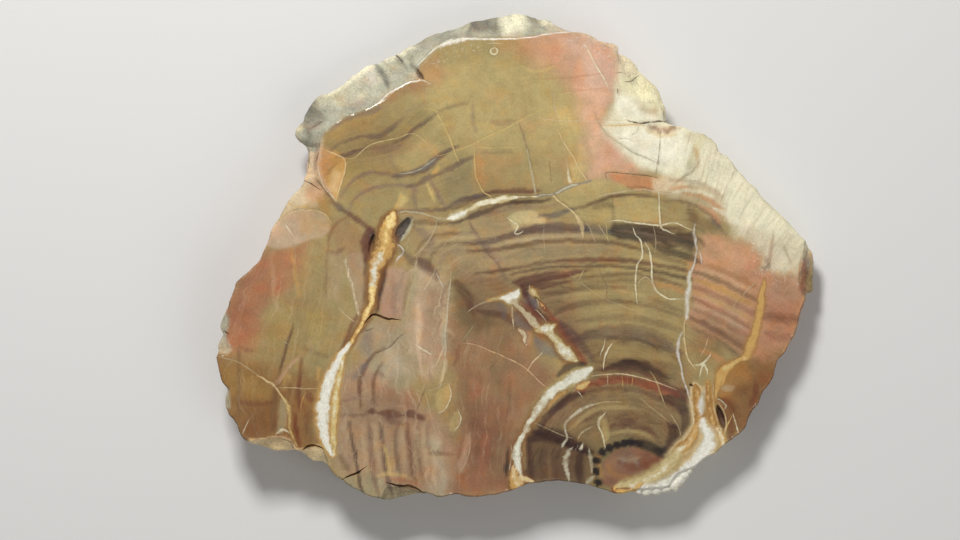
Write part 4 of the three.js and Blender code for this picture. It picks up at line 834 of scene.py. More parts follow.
# hairlines: tone, width, strength, line
# painted glint: a bright line along the polished edge below the broken shoulder
# painted glint: the white line along the polished face's top edge, widest at the left and thin further right
# painted highlight on a ridge of the broken shoulder, then painted shade in a crease and in the notch beside
# it
# painted highlight: a thin bright line along the polished face's right edge
hairs = readMarks("""
# upper left
khakiPale .28 .85: -34.8 19.5,-32.5 19.3,-30.5 21,-28.5 22.2,-26 22.9,-23.5 23.4,-21.5 24.2,-20 24.1
 -18.5 23,-17 21.5,-15.7 19.9
gold .3 .7: -16.2 29 .2,-15.3 27.5 .35,-14.3 25.5 .4,-13.3 23.5 .4,-12.6 21.5 .4,-12.2 20.4 .3,-11.5 18.8 .2
gold .26 .6: -18.4 29.3,-16.2 29,-15.2 28.4
gold .26 .75: -15.5 19.8,-13 20.5,-10 21.6,-7.5 22.7,-5 24,-2 25.3,1 27,4 28.6,7.5 30.2
greyPale .3 .8: -23.3 16.1,-20 16.8,-18 17.9,-16 19.4
gold .34 .85: -8.4 21.8,-8.3 19,-8.1 16,-7.3 14,-6.5 12.6,-5 11.7,-4.7 11.1
gold .26 .5: -8.2 21.6,-4 21.4,0 21.6
gold .3 .8: -17.8 14.3,-17.2 12.8,-16.3 10.8
amber .3 .75: -23 12.4,-23.4 11,-24.5 9.2,-26 8.4
wax .3 .85: -39.4 21.6,-37.6 20.8,-35.8 20,-34.4 19.3,-34 17.8,-34.9 14.6,-35.6 12.2,-35.9 10.6
cream .3 .6: -39.6 17.6,-38.4 13.6,-36.6 11.8,-35.9 10.6
wax .26 .8: -42.6 8.6,-40.4 9,-38.8 8.5,-37.8 7.7,-37 6.4
peachPale .36 .8: -46.6 7.4,-44.6 8.5,-43 8.9,-42 9
amber .3 .7: -46 10.6,-44.6 9.8,-42.6 9.6,-41 10.2,-38.4 11.2
cream .4 .8: -45.9 6 .15,-45.2 4.9 .5,-44.4 3.8 .15
white .36 .85: -28.2 29.8 .2,-26.8 31 .4,-25.4 32.3 .4,-23.4 33.5 .25,-21 34.5 .4,-18.7 34.9 .35
 -17.3 34.2 .2
white .5 1: -19.6 38 .2,-18 39.5 .25,-16.6 40.9 .4,-15 41.8 .8,-13 42.6 1.1,-11 43 1,-9 43.2 .6,-4 43.2 .4
 0 43.3 .3,4 43.7 .2
white .36 .9: 4 43.8,7 44.3,9.6 44.6,12.4 44.9
shoulderPale .35 .9: -32.3 33.5,-30.2 32.2,-28.2 30.4
shoulderPale .3 .7: -32.6 31.6,-30.4 31,-28.6 29.9
shoulderPale .4 .8: -26.6 38.8,-25.6 37.2,-24.5 35.6
darkBrown .36 .95: -24.3 40.3,-23.4 39.6,-22.5 38.4
darkBrown .34 .9: -19.8 37.3,-19 36.2,-18.5 35.2
brown .36 .9: -40.6 25.6,-39.4 26.3,-38.6 26.6
brown .34 .8: -39.2 22.4,-39.4 20.6,-40 18.6
brown .34 .8: -41.6 21.6,-41.4 19.4,-41.6 17
darkBrown .34 .85: -42.4 14.9,-40.6 14,-39.2 13
brown .28 .7: -39.9 15.2,-38.4 13.2,-36.8 11
cream .4 .9: -4.4 41.5,-3.9 41.3,-3.7 40.8,-3.9 40.3,-4.4 40.1,-4.9 40.3,-5.1 40.8,-4.9 41.3,-4.4 41.5
# upper middle
creamTan .34 .8: 8.4 26.6,8 28.5,7.7 30,7.6 31.4,7.4 33.2
peachPale .22 .7: 3.4 27.7,6 27.2,8.5 26.9,12 26.8,15 26.8,18 26.9,22.5 27
wax .3 .85: 8 26.2,9.2 23.3,10.2 21.5,11.5 19.5,12.3 17.8,13.5 16,14.2 14.9,15 14.7
creamTan .24 .6: 9.3 22.6,10 20,10.4 17.4,11 14.6
cream .5 .8: 10.4 17.4 .2,10.4 16 .6,10.9 14.6 .9
gold .4 .8: 12.2 16.6 .2,11.6 15.6 .6,11.2 14.6 .4
mauve .4 .7: .6 26.4,1.4 24,2.1 21.6,2.7 18.6
greyPale .36 .9: 2.2 21 .3,2.7 18.6 .4,3.2 16.2 .5,3.6 14 .5,3.9 12.2 .6
oliveDark .3 .6: 6.6 19,6.9 17,7 14.6
cream .36 .9: 13.8 42.5,14.6 40.8,15.4 39,16.4 37.2,17.5 35.5,18.6 33.4
peachPale .3 .8: 20.4 40.3,20 37,20.2 35,20.8 33,20.3 31
pink .3 .6: 15 32.8,18 32.8,21 33
peachPale .26 .5: 15.4 23.5,18 23.4,21 23.6
salmonDeep .3 .45: 5 35.2,10 35.4,14 35.9,18 36.4
salmonDeep .3 .35: 8 32.4,13 33,18 33.4
gold .8 .5: 1 37.8 .4,3 36.9 .9,5.5 36.9 .9,7.6 37.8 .4
# cream rim
darkBrown .34 .95: 21.8 34.7,23 34.8,23.8 35.4,24.8 36.2
brown .22 .6: 19.8 36.5,21 36.5,22 36.3
brown .3 .7: 20.3 33.3,20.4 32.2
darkBrown .4 .95: 22.4 26.9 .2,24.5 26.4 .4,27 26.6 .5,29 26.8 .4,30.6 26.6 .5
amber .34 .8: 17.4 25.9,20 25.9,23 26.1,25.6 26
greyGreen .24 .75: 15.8 28.5,16.5 26.5,17.4 25.2,18.7 23.7,20 22.8,21.6 21.8,23 20.8,24.6 20,26.5 19.3
 28.2 18.4
brown .24 .7: 20.4 23.2,21.8 23.4,22.8 23.1
blueGrey .24 .6: 24.5 25.8,24.3 24.8,23 23.9
mauve .4 .65: 28.9 24.5 .2,28.8 22 .3,28.6 20 .4,28.4 18.4 .6,28 16.2 .2
oliveGrey .26 .5: 36.8 18.8,35.5 17,34 15.9,32.5 14.9,31.7 13.8
creamTan .32 .5: 35.2 9.6,36.2 12.6,37.4 16.2,38.5 20
creamTan .32 .5: 36.4 9.4,37.4 12.6,38.4 15.6,39.4 18.4
tan .3 .35: 39.8 12.4,40.6 15,41.4 17.6,42 19.4
tan .34 .55: 41 10.6,42 13,43.2 15.6,44.2 17.4
creamTan .3 .35: 43 10.4,44.6 13,46 14.8
creamTan .3 .35: 44.8 7.6,46.6 10.6,48 12.8
creamTan .3 .6: 34 20.6,34.6 23,35 24.6
creamTan .3 .35: 47 5,49 8,50.6 10
creamTan .3 .3: 49.6 4.6,51.6 7,53 8
tan .34 .5: 51.6 5,51.3 2,50.8 -.4,50.2 -2.6
tan .3 .45: 53.2 3,54.2 .6,55 -1.4
stain .3 .7: 57.9 1.6,57.2 -.6,56.9 -3,56.7 -5.4
oliveGrey .24 .7: 49.2 -2.6,50.2 -2.3,51 -1.4,51.4 0
oliveBrown .26 .85: 18.3 14.9,18.2 16.5,22 16.3,26 15.9,28.2 15.5
peachPale .3 .75: 29.4 15.4,27.9 15,27.6 14.2,28 13.2,28.7 12.8,29.6 13.6,30 14.4
ivory 1 .5: 39.6 9.4 .4,41.4 8.6 1.3,43.6 7.2 1.5,45.6 5.9 .7
cream .34 .85: 35 -26.4,35.2 -29,35.4 -31.6,35.6 -33.6,34.8 -35.6,33.2 -37.6,32.6 -38.6
bone .36 .8: 4.9 -30,3.6 -32,2.4 -34,1.2 -36
cream .3 .6: -.9 -38,-1 -40.4,-1.3 -43,-1.7 -45.8
cream .3 .8: 11.6 -25.8,12.2 -27,13.2 -28.2
cream .28 .8: 2.7 -6.2,2.8 -7.6,4 -8.5,4.6 -10
creamPink .26 .8: 4 -11,5.2 -12.2,6.4 -13.8
straw .4 .6: 31 26.1,34 25.4,36.6 24.6,38.6 23,40.4 21.4,42.2 19.6,44 17.4,46 15,48 13,49.6 11
straw .4 .6: 49.6 11,51.6 9.1,53.6 7.2,55.4 5.6,57.2 3.6,58.6 2.2
straw .5 .6: 30 27.6,29.2 30.2,28.6 32.4,27.6 34.4,26 36,24.4 37.6,23 39.2,21 40.3
# middle
creamPink .4 .6: 15.4 11.5,17 11.8,18.5 12.2,21 12.6,24 13,26.5 13.1,28.5 12.5,31 12.2,34 12.3
oliveBrown .24 .6: 17 11,20 11.8,24 12.2,27 12.1
oliveBrown .24 .6: 22 13.6,25 13.6,27.6 13
wax .5 .9: 7.3 12.2 .5,8.5 10.8 .4,10 9.7 .35,11.5 8.5 .45,12.5 7.2 .8,13.2 5.6 1,13.4 3.6 .3
creamTan .34 .6: 14 6.4 .2,14.8 5.4 .3,15.3 4 .3,15.8 2.8 .2
creamTan .3 .6: 16.4 6.4,17.5 4.5,18.6 2.8
gold .26 .5: 18 6.5,18.2 4.4,18.4 2.8
creamTan .24 .5: 5.6 6,5.6 3,5.8 .6
cream .36 .95: 18.4 6.7,20 6.9,21.5 6.8,23.5 6.5,26 6.2,28 6,29 5.9,30.5 6.3,32 6.4,33.6 5.7,35.2 5
cream .4 .95: 28.6 12.6,28.7 10,28.8 8,28.9 6.3,29.3 5.2,30.4 4.8,31.5 4.3
cream .36 .95: 23.5 5.4,24 4,25 2.8,25.3 1,25.2 -.5,24.3 -2,24 -4,23.9 -6,24.1 -8,24.3 -9.6
cream .4 .95: 26 2.3,26.7 1.1,27 -.5,27.2 -2.5,27.3 -5,28 -7,29.5 -8.2,31 -8.8,34 -8.8
creamTan .34 .85: 24.4 -6,25 -4.9,26 -4.4,27 -5.2,28 -6.9
creamTan .24 .5: 27.5 5.8,27.9 4,28 2,27.7 -.4
lilac .3 .7: 36.6 1,37.1 -.4,37.2 -1.8
lilac .45 .9: 35.9 6.2 .25,35.7 4.6 .5,35.9 3 .6,36.2 1.6 .45,36.1 0 .4,35.6 -2 .4,35.1 -3.6 .5
creamTan .3 .7: -1.6 7.6,-.6 8.3,.9 8.7,2.9 8.9,4.2 8.3
cream .36 .85: -1.6 7.4,-.6 6.6,.4 6,.2 5.2,-.3 4.5,.4 4.2,1.3 4.7
khakiPale .24 .6: -13.2 7.4,-16 7.6,-18.6 8.4,-21 8.8,-24 8.2,-26 7.6
greyPale .34 .85: -13.4 7.2,-15.6 7.3,-18 8.1,-20.4 8.5,-22.6 8.7,-24.6 8.1
creamTan .4 .75: -15.6 7.2,-16.4 4.8,-17.8 2.4,-19.2 .8,-20.4 -.2
oliveBrown .45 .45: -9.2 7,-8.8 5.4,-7.5 4,-6.7 2.2,-5.8 .4,-4.4 -1,-2.8 -3.2,-1.8 -4.8
greyPale .6 .9: -20.6 7.2 .3,-21.2 5.6 .9,-22.4 3.6 .8,-23 2.8 .3
lilac .34 .85: -24.4 3.6,-24 2.4,-22.7 1.4,-22.6 .4,-23.6 -.6,-24 -1.4
creamTan .3 .6: -20 0,-19.8 -1.4,-20.6 -3,-21 -5
peachPale .4 .7: -16.8 -4.4,-17.6 -5.8,-18.4 -7.2
lilac .3 .6: -16 -3.4,-15.2 -5,-14.6 -6.4
khakiPale .3 .5: -19.4 -3,-20.8 -6.4,-21.8 -10.4
oliveDark .34 .5: -13.6 -5.6,-11 -7,-8.6 -9.4
# star vein and the foot of the middle
creamTan .4 .85: -2.6 -8.2 .7,-5 -9.1 .6,-7.4 -9.9 .4,-9.4 -11.2 .25
peachPale .36 .8: -.7 -10.2,-.8 -12,-.4 -14.4
peach .3 .85: -10.6 -17.6,-8 -18,-5 -19.2,-2 -20.5,1 -22,3 -23.6,5 -25.6,6.8 -27
peachPale .36 .85: 2.2 -23.2,3.2 -21.6,4.4 -20.4,5.4 -19.3
greyGreen .3 .7: -10.9 -17.4,-9.6 -15.6,-8.4 -14
brown .28 .6: -4 -20.6,-5 -22.6
bone .34 .7: -13 -3.6,-13.2 -6,-13.6 -9.6,-13.8 -13,-14.2 -16,-14 -19,-14.4 -22
peachPale .34 .7: -14.2 -18,-15 -20,-16.2 -22.4
wax .34 .6: -14.2 -22,-14.6 -24.4,-15.2 -26.2
cream .4 .8: -19.7 -18.2,-18.4 -19,-17 -19.8
creamTan .34 .6: -19.6 -18.6,-19 -22,-18.6 -25.6
brown .28 .7: -18 -26,-18.8 -28.4,-19.8 -31
creamTan .3 .6: -18.2 -27.4,-17.4 -30,-17 -32.4
creamTan .3 .6: -18.6 -27,-17 -27,-15.4 -26.4,-14.2 -25.6,-13.4 -25.8
cream .26 .7: -13.4 -25.8,-13 -27.6,-13.3 -29.2,-14.3 -31,-15.5 -31.6
cream .26 .7: -11.6 -31,-11 -32.6,-11.4 -34,-12.4 -35.2
tanPale .3 .7: -9.2 -35.4,-9.2 -38.6,-10 -41.4,-11.4 -43.6
darkBrown .34 .9: -30.4 -15.2,-29.4 -15,-28.6 -14.6
brown .3 .85: -28 -19.6,-26 -18.8,-24.6 -17.8,-23.6 -16.6,-22.4 -15.8
creamTan .3 .6: -26.4 -24,-24.6 -21,-23 -18.6
creamTan .26 .2: -34.4 -27,-31 -28.6,-28.4 -28.4
# left side
creamTan .34 .55: -59.6 -20.2,-57.6 -20.7,-55.6 -21.3,-53.4 -22.6,-51.4 -24
wax .4 .8: -51.6 -24 .3,-50 -25 .5,-48.6 -25.8 .5,-47.8 -26.6 .4,-46.6 -28.4 .4,-45.6 -30 .3
gold .6 .75: -46.8 -28 .4,-45.6 -30 .9,-45.2 -32.4 .7,-45.2 -34.6 .5,-44.4 -36.6 .5,-43.8 -38 .3
cream .5 .7: -47.8 -35.6 .4,-46.6 -34.8 .7,-45.4 -35.4 .3
peachPale .26 .65: -47.4 -26.5,-44.6 -26.5,-42 -26.7,-39.6 -26.6
tanPale .3 .6: -44.6 -21.8,-46 -23.4,-47.4 -25.8
amber .26 .5: -42 -27.4,-42.8 -29.6,-43 -31
creamTan .36 .8: -33.9 -.6,-34 -2.4,-33 -5,-32.4 -7.6,-32 -10,-31.6 -11.6
peachPale .3 .7: -35.4 -10.4,-34 -12,-32.4 -13.2
brown .3 .85: -44.4 -13.8,-45.4 -17,-46.2 -20,-47.2 -23.4
darkBrown .3 .85: -47 -36.8,-45.8 -36.9,-45 -37.6,-44.6 -38.6
creamTan .34 .7: -46.4 -17.2,-45.4 -17.8
cream .3 .6: -54.6 -35.6,-53.8 -34,-53.2 -32.6
creamTan .34 .4: -35.4 -20.4,-34.2 -22.6,-34.6 -25.4,-35 -28
creamTan .3 .4: -34.4 -21,-33.6 -24,-34.4 -27.4
gold .3 .7: -30.6 -13.6,-31.8 -15.4,-32.6 -18,-34 -20
# round the pith
peachPale .3 .9: 15.2 -24.2,18 -23.9,20.4 -23.8,23 -24.1,26 -24.8,29 -25.8,32 -26.9
amber .26 .6: 23.4 -24.4,23.2 -26.2
peachPale .26 .6: 18.4 -24,18.3 -26
amber .26 .6: 21.2 -24,21.4 -26.4
khakiPale .3 .65: 27 -23.4,28.2 -25.4,29 -27.8,30 -30.4
khakiPale .24 .5: 24 -27.6,26.4 -30,29 -32,31 -33.8
bone .6 .85: 15.6 -29.9 .4,13.6 -30.6 .7,11.6 -32 .7,9.8 -33.8 .5,10 -35.6 .5,10.2 -36.8 .6,9.3 -38.2 .7
khakiPale .34 .7: 15.6 -29.9,18 -29.4,21 -29.4
creamTan .4 .7: 15.6 -34.2,14 -35,12.8 -36,12.4 -37.2
creamTan .26 .6: 3.8 -33.6,6 -34.6,9 -36,11.6 -36.8
cream .6 .85: 17.8 -31.7 .3,16.6 -33 .7,16.6 -34.4 .5,17.4 -36.4 .4,17.8 -38.4 .3
bone 1 .85: 11.2 -38.6 .3,10.3 -39.6 1.2,9.9 -41.4 1.3,10.2 -43.4 .9,10.7 -45.4 .4
greyPale .6 .85: 14.6 -39 .4,15 -41 .8,15.2 -43.4 .5
greyPale 1 .7: 15.6 -44.2 .4,14.8 -45 1,14 -46 .6
cream .6 .8: 13.4 -37.8 .3,13 -38.8 .8
cream .3 .85: 17.8 -16.9,17.6 -18.2,17 -19.6,16.8 -20.4
cream .36 .9: 19.4 -17.6,18.4 -19,17.7 -20.6,17.5 -22.8
brown .24 .5: 16.6 -2.8,17.6 -5,18.2 -6.6,18 -8.6
creamTan .22 .5: 10.6 -3.8,13 -5.6,17 -8.4,20.4 -9.8,24 -11.2,28 -13
khakiPale .3 .6: 13.6 -3,12.6 -5
creamTan .3 .7: 31 -32,32.4 -34,33 -36
# corner vein
wax .36 .85: 34 -12.8,33.7 -14.6,33.8 -17.6,34.4 -20.6,35.2 -21.9,36 -22.8
lilac .5 .9: 33.3 -15.4 .35,32.7 -17 .6,32.4 -19 .7,32.6 -20.6 .55,33.1 -22.4 .45,33.3 -24 .45,33.9 -26 .45
 34.6 -28 .4,35 -30 .3
cream .4 .85: 36.8 -24.4,37.2 -22.8,37.6 -21.8,38.2 -22.8,38.4 -23.8
cream .5 .85: 35.8 -22,37 -21.9,38.4 -20.8,39 -19.8
peachPale .26 .6: 37 -20.4,38 -18.4,38.6 -16.4
bone .3 .8: 39.9 -29,40.6 -28.9,41.6 -29.6,42.2 -30.4,41.8 -30.8
cream .4 .85: 39.6 -26,39.5 -28,39.6 -30,40 -32,40.6 -34,41.2 -35.4,41.6 -37
wax .34 .8: 40.6 -29.6,41.6 -31.2,42.1 -33,42 -34.8,41.6 -36.4
cream .34 .85: 43.6 -32,44 -33.6,44.6 -35.6
gold .34 .8: 43.4 -32.2,42.4 -34,41.8 -36.4
creamTan .3 .7: 48.6 -5,46.6 -6.8,45.4 -8.2
creamTan .26 .6: 48.8 -8.6,48 -12,47 -14.8
khakiPale .26 .5: 45 -8,44 -9.8,43.4 -11
darkBrown .4 .9: 34.8 -25.7,35.6 -26.2
cream .8 .7: 39 -32.6 .4,39.6 -32.8 .8
""")
# round dark beads: tone, width, where
beads = readMarks("""
soot 1.7: 16.4 -45.5,16 -43.3,16.1 -41.2,17.2 -39.5,18.8 -38.7,20.3 -38.1,21.7 -37.7
 23 -37.5,30.1 -40.4
""")
# veins: tones of the edge, the body and the core, how far the core reaches, strength of the
# halo, line with widths
veins = readMarks("""
# ochre vein
umber amber butter .65 .9: -24.6 8.2 1.4,-25 7 2.8,-25.7 5.4 3,-26 3.6 3
umber honey butter .25 .9: -25.9 3.9 2.8,-26 2.2 4,-26.6 .6 4.4,-27.5 -1.2 3.8,-28.2 -3 2.6
umber honey milk .35 .9: -27.3 -.6 2.2,-28 -3 2.3,-28.4 -5 2.2,-28.8 -7.4 1.8
umber honey butter .4 .8: -28.6 -7 1.7,-29.2 -10 1.7,-30.1 -12.4 1.6,-30.8 -14 1.3,-31.8 -15.6 1
 -33 -17.4 .9,-34.2 -19 1
# white vein on the left
honey milk white .7 .45: -33.6 -18 .8,-34.9 -20 1.4,-36.1 -22.4 1.8,-37.2 -25 2.4,-38 -27.6 2.9,-38.5 -30 3
 -38.6 -33 2.8,-38.2 -36 2.2,-37.4 -38.4 1.6,-36.8 -40 .7
ochre gold cream .25 .3: -34.3 -20 .4,-35.2 -23.4 1.1,-35.8 -27 1.4,-36.3 -31 1.5,-36.5 -35 1.3
 -36.1 -39.8 .7
# lens and its tail
khakiPale bone ivory .7 .1: -13.8 7.1 .4,-12.4 7.7 1.5,-11 8.3 1.7,-9.8 8.9 1.2,-8.4 9.8 .8
oliveDark khakiPale cream .45 .2: -9.6 9.1 1.2,-7.6 10 1.7,-5.6 10.5 1.5,-3.4 11 1.6,-1.6 11.5 1.3
 .4 11.6 .5,2.4 11.5 .5,4 11.6 .7
blueGrey greyPale bone .3 0: 4 11.7 .5,7.2 12.2 .45,9 13 .6,11 13.9 .6,13 14.5 .4,15 14.9 .25
# white vein on the right
creamTan bone lilac .5 .1: 35.1 -3.4 .6,34.7 -5.6 .9,34.4 -8 1,34.2 -10.4 .8,34.1 -13 .6
# star vein
ochre khaki creamTan .3 .3: -5.8 -9 .3,-4 -8.7 .8,-2.6 -8.5 1.1,-1.6 -8.4 1.4
khaki bone white .7 .3: -2.8 -8.6 .8,-1.2 -8.6 2.8,-.2 -8.2 2.3,.7 -7 .5
redBrown creamTan bone .1 .5: -.6 -9.4 1.1,.8 -10.6 1.2,2 -11.8 1.6,3.2 -13.1 1.8,4.4 -14.3 1.2
ochreBrown resin khakiPale .3 .7: 4.2 -15.1 1.4,5.4 -14.9 2.9,6.6 -14.7 2.7,7.8 -13.8 .9
ochreBrown khakiPale milk .4 .9: 6.4 -14.6 2.2,7.4 -16.4 2.2,8.6 -17.9 2.2,10.1 -19.5 2.8,11.2 -20.4 2.2
 12.4 -21.2 .6
resin khaki wax .4 .3: 3 -6.2 .4,3.4 -7.2 1.3,4 -8 1.3,4.6 -8.8 .4
rust honey resin .3 .9: 4.8 -9.4 .3,5.2 -10.1 .7,5.8 -10.9 .3
salmonBrown creamTan peachPale .4 .4: .6 -15 .4,1.3 -15.5 1.2,1.7 -16.4 1,1.7 -17.6 .7,2.4 -18.3 .3
# arc vein
khaki bone milk .85 .2: 15 -22.8 .8,13.6 -23.6 2.3,12 -24.3 2.7,10 -25.4 2.3,8 -26.8 2,6.2 -28.6 2.1
 5 -30.4 1.8,4.2 -31.6 .8
ochreBrown creamTan milk .45 .4: 5.8 -28.8 1.9,4.6 -30.6 2.3,3.4 -32.6 1.8,2.2 -34.6 1.4,1.3 -36.3 1.1
rust honey gold .2 .8: 14.6 -25.4 .8,13.4 -26.2 1.8,12.4 -26.6 1.2
umber ochre gold .1 .6: 10.4 -27 .3,8.6 -28.2 .8,7.2 -29.6 .7,6 -31.4 .3
umber bone milk .45 .6: 1 -36.5 1,.3 -38.4 1.8,.1 -40.4 2.1,.4 -42.2 1.8,.9 -43.8 1.1
umber honey wax .2 .9: -.6 -42.4 .6,-.4 -44.4 2.4,.4 -46 3.4
umber wax gold .3 .6: .8 -44.4 .8,2 -45 1.3,3.4 -45.4 .5
# yellow seam on the right
resin honey honey 0 .05: 49.8 -4.6 .5,49.5 -7.6 1.2,49.1 -10 1.4,48.7 -12.4 1.6,48.1 -15 1.7,47.5 -17 1.9
 46.8 -19 2.3,45.8 -20.6 1.2
resin honey gold .2 .25: 47 -20.4 .4,44.8 -21.2 .9,42.8 -22.2 1.6,41.4 -23.6 2.4,40.7 -25.4 1.8
 39.9 -27.6 .8,39.6 -29.4 .5
# corner vein
wax resin honey .25 .5: 35.8 -26 .8,36.4 -28 2.6,36.8 -30.4 3.3,37 -32.6 3.2,36.4 -34.6 2.7,35 -36.6 2.4
 33.6 -38.4 2.6,32.2 -39.8 2.4,30.4 -41.4 1.6,29 -42.4 .6
ochre resin honey .3 .4: 38.3 -25.6 .9,38.6 -28.4 1.6,38.9 -31 1.8,39.4 -33.4 1.6,40.2 -35.2 .9
creamTan bone lilac .4 .1: 37.6 -27 .4,37.4 -28.6 .9,37.3 -30.2 1.2,37.2 -31.8 .6
wax bone white .7 .2: 37.5 -33.2 .8,38.1 -35 2.2,38.7 -37 3.5,38 -39 3.9,36.6 -40.8 3.5,34.8 -42.4 3
 33 -44.6 3
khaki khakiPale cream .1 .3: 33.4 -38.8 1,32 -40.6 2.6,30 -42.6 3,27.6 -44.2 3,24.6 -45.4 2.4,21.4 -46 1.4
 19.8 -46.4 .6
resin honey wax .2 .3: 36 -34.6 1.2,35.4 -36.8 1.5,34.6 -38.4 1,33.6 -39.6 .4
bone milk white .9 .1: 33.6 -44 2.8,31.4 -45.4 3,29 -46.6 2.8,26 -47.2 2.4,23.4 -46.8 1.2
rust amber gold .1 .9: 19.6 -46.8 .8,21.4 -47.4 1.6,23.4 -47 1.2,25 -46 .5
honey wax cream .4 .5: 40.4 -34.6 .6,41.2 -36.6 1.1,41.6 -38.2 1.1
# wedge beside the ochre vein
creamTan peachPale cream .1 .1: -33.9 -.8 .3,-33.7 -3 .4,-32.8 -6 .4,-32.2 -9 .4,-31.4 -12 .5
""")
# growth rings: outwards from the pith, each with its distance in mm
rings = readMarks("""
0: 15.3 -49,15.2 -43,16 -40.3,18.5 -38.2,22 -37.3,26 -37.8,29.5 -39.5,31 -49
5: 10.5 -49,10.3 -40,11.5 -36,14.5 -33.5,20 -32.5,26 -33,30 -34.5,33 -37,36 -49
13: -1 -49,0 -40,3.5 -33,8 -26.8,14.5 -24,20 -24.2,27 -26,34 -29,38 -32,43 -38,46 -49
22: -4 -49,-3 -40,-2.5 -32,-2 -25,2 -20,8 -17,14 -15.6,20 -15,26 -15.6,32 -18,38 -21.5,43 -26,48 -32,54 -44
36: -13 -50,-13.5 -30,-12.5 -20,-12 -13,-10 -8.5,-6 -6,0 -5,10 -2.5,20 -1.7,28 -2.4,36 -5,44 -9,52 -14
 60 -20
42: -19.5 -50,-20.5 -38,-21 -30,-22 -20,-21.5 -12,-20 -6,-17 -1.5,-12 1.2,-6 2.5,4 4,12 4.4,22 4,30 3.6
 36 1.5,42 -3,48 -7,53 -11,64 -18
50: -30 -50,-32 -42,-33 -34,-33 -26,-32 -18,-29 -10,-27.5 -3,-26 4,-23 8.6,-18 8.8,-8 11.3,5 12.6,15 10.4
 24 12.1,30 11,37 9.5,42 5.5,48 0,64 -10
58: -41 -50,-42 -40,-42 -30,-40 -22,-38 -14,-36 -4,-34 4,-31 9,-27 12,-22 14,-16 16.5,-8 19.7,0 20.3,10 21
 20 20,30 16,40 11,50 5,64 -2
68: -48 -50,-48 -34,-47 -24,-45 -14,-44 -6,-43 2,-41 10,-38 17,-33 20.4,-25 22,-19 26,-11 30.3,0 32,12 33
 22 31,32 26,44 17,64 4
80: -54 -50,-54 -37,-58 -28,-57 -16,-54 -6,-50 2,-46 12,-40 25,-30 30,-20 36,-8 41,4 43.5,14 42,24 38,36 31
 64 14
""")
# where wisps of fibre show: softness, strength, outline
wisps = readMarks("""
2 .9: -25 0,-13 -3,-12 -14,-13 -24,-18 -27,-24 -20,-23 -10
2.5 .55: -32 -14,-24 -14,-18 -27,-14 -36,-13 -47,-33 -47,-36 -36,-34 -22
3 .3: -56 0,-36 4,-32 -12,-38 -22,-44 -38,-56 -36,-60 -16
2 .4: -24 6,-10 6,0 4,-4 -4,-16 -4,-22 0
2 .35: -12 -16,-1 -16,-1 -46,-12 -46
""")
# where growth lines show clearly
banded = readMarks("""
2 1: -20 10,-8 12,10 12,34 12,42 4,58 -6,56 -20,44 -22,38 -34,30 -38,16 -38,2 -44,4 -32,12 -22,2 -8,-16 -4
2 .7: -40 20,-30 28,-16 32,-8 20,-14 10,-26 14,-36 12
2 .6: -36 -28,-20 -28,-16 -40,-16 -49,-38 -48
""")
# where white powder lies in the polish, and where glints are painted near the top edge
dustAndGlintZones = readMarks("""
1.2 1: 6 44.4,12 45,21 43,20.6 38,16 39,11 42
1.2 .5: 14 33.4,22 34,22 32,14 32
1.2 .5: 14 24,20 24,22 22,15 21
1.4 .9: 38.6 12,42 11,47 4.6,50 3,50 -2,56 -3,57.6 -6,52 -6.6,48 -4,46 1,42 4.6,39 8
1 .6: -22 42,-14 43,-4 42.6,-10 39,-18 37
""")
# where fine striations run across the rings
striated = readMarks("""
1.4 1: 34 20,40 22.4,60 4,59 -4,50 -4,48.6 1,44 4.6,40 9,31 12,32 16
1 .5: 10 26,19 27,19 30,10 30
1.4 .4: 17 -23,30 -23,34 -30,30 -35,18 -34,12 -28
""")
# how the marks are laid on the stone: lengths in mm
marking = {
    "pith": (22.6, -42),
    "turnReach": 25,  # one radian round the pith counts as this many mm
    "ringReach": 200,
    "washPower": 2.2,  # a wash is written as it looks, and the ground is in linear light
    "lineTaper": (0.4, 0.25),  # width left at the ends of a line, and the share of it that narrows
    "thinnest": 0.1,
    # how far marks stray from where they are written, and over what length
    "softSway": ((0.8, 3.1), (0.35, 1.1)),
    "fineSway": ((0.14, 1.3), (0.1, 0.6)),
    "hairSway": ((0.05, 1.1), (0.04, 0.6)),
    "veinSway": ((0.2, 1.6), (0.1, 0.7)),
    "patchSize": (0.8, 4.5),  # patches in strokes, across the rings and along them
    "cloudSize": 1.7,  # clouds in fields
    "patchSeed": 35,
    "cloudSeed": 36,
    "softField": 0.7,  # fields with a softer edge than this stray more and are cloudy
    "fieldStrength": (1.05, -0.3),  # of all, and of the clouds
    "strokeStrength": (0.8, 0.3, -0.08),  # of all, of the patches and of the clouds
    "strokeReach": 2.5,
    "thinStroke": 0.33,  # half width: thinner strokes are laid this wide, and fainter
    "strokeBlur": (0.14, 0.22),  # of all, and for each mm of half width
    "beadStrength": 0.96,
    "beadEdge": (-0.2, 0.16),
    "hairGap": 1.7,  # hairlines nearer to each other than this are kept apart
    "hairReach": 1.6,
    "hairFar": 30.0,  # half widths beside a hairline that stand for far away
    "hairFade": (0.75, 1.1),  # how far beside a hairline its colour fades
    "hairEnd": (0, 0.5),  # and how far past its end
    "veinReach": 3,
    "veinMeet": (-0.7, 0.4),  # how deep in a vein its tones take over from another's
    "veinFar": (-4.0, -1.5),  # depth away from all veins, and where a vein counts as near
    "veinHalf": (0.3, 0.8),  # depth is counted in half widths: at least, and outside at most, these
}


def linear(tone):
    value = np.array(tones[tone]) / 255
    return np.where(value <= 0.04045, value / 12.92, ((value + 0.055) / 1.055) ** 2.4)


def corners(text):
    return np.array([point.split() for point in text.split(",")], float)


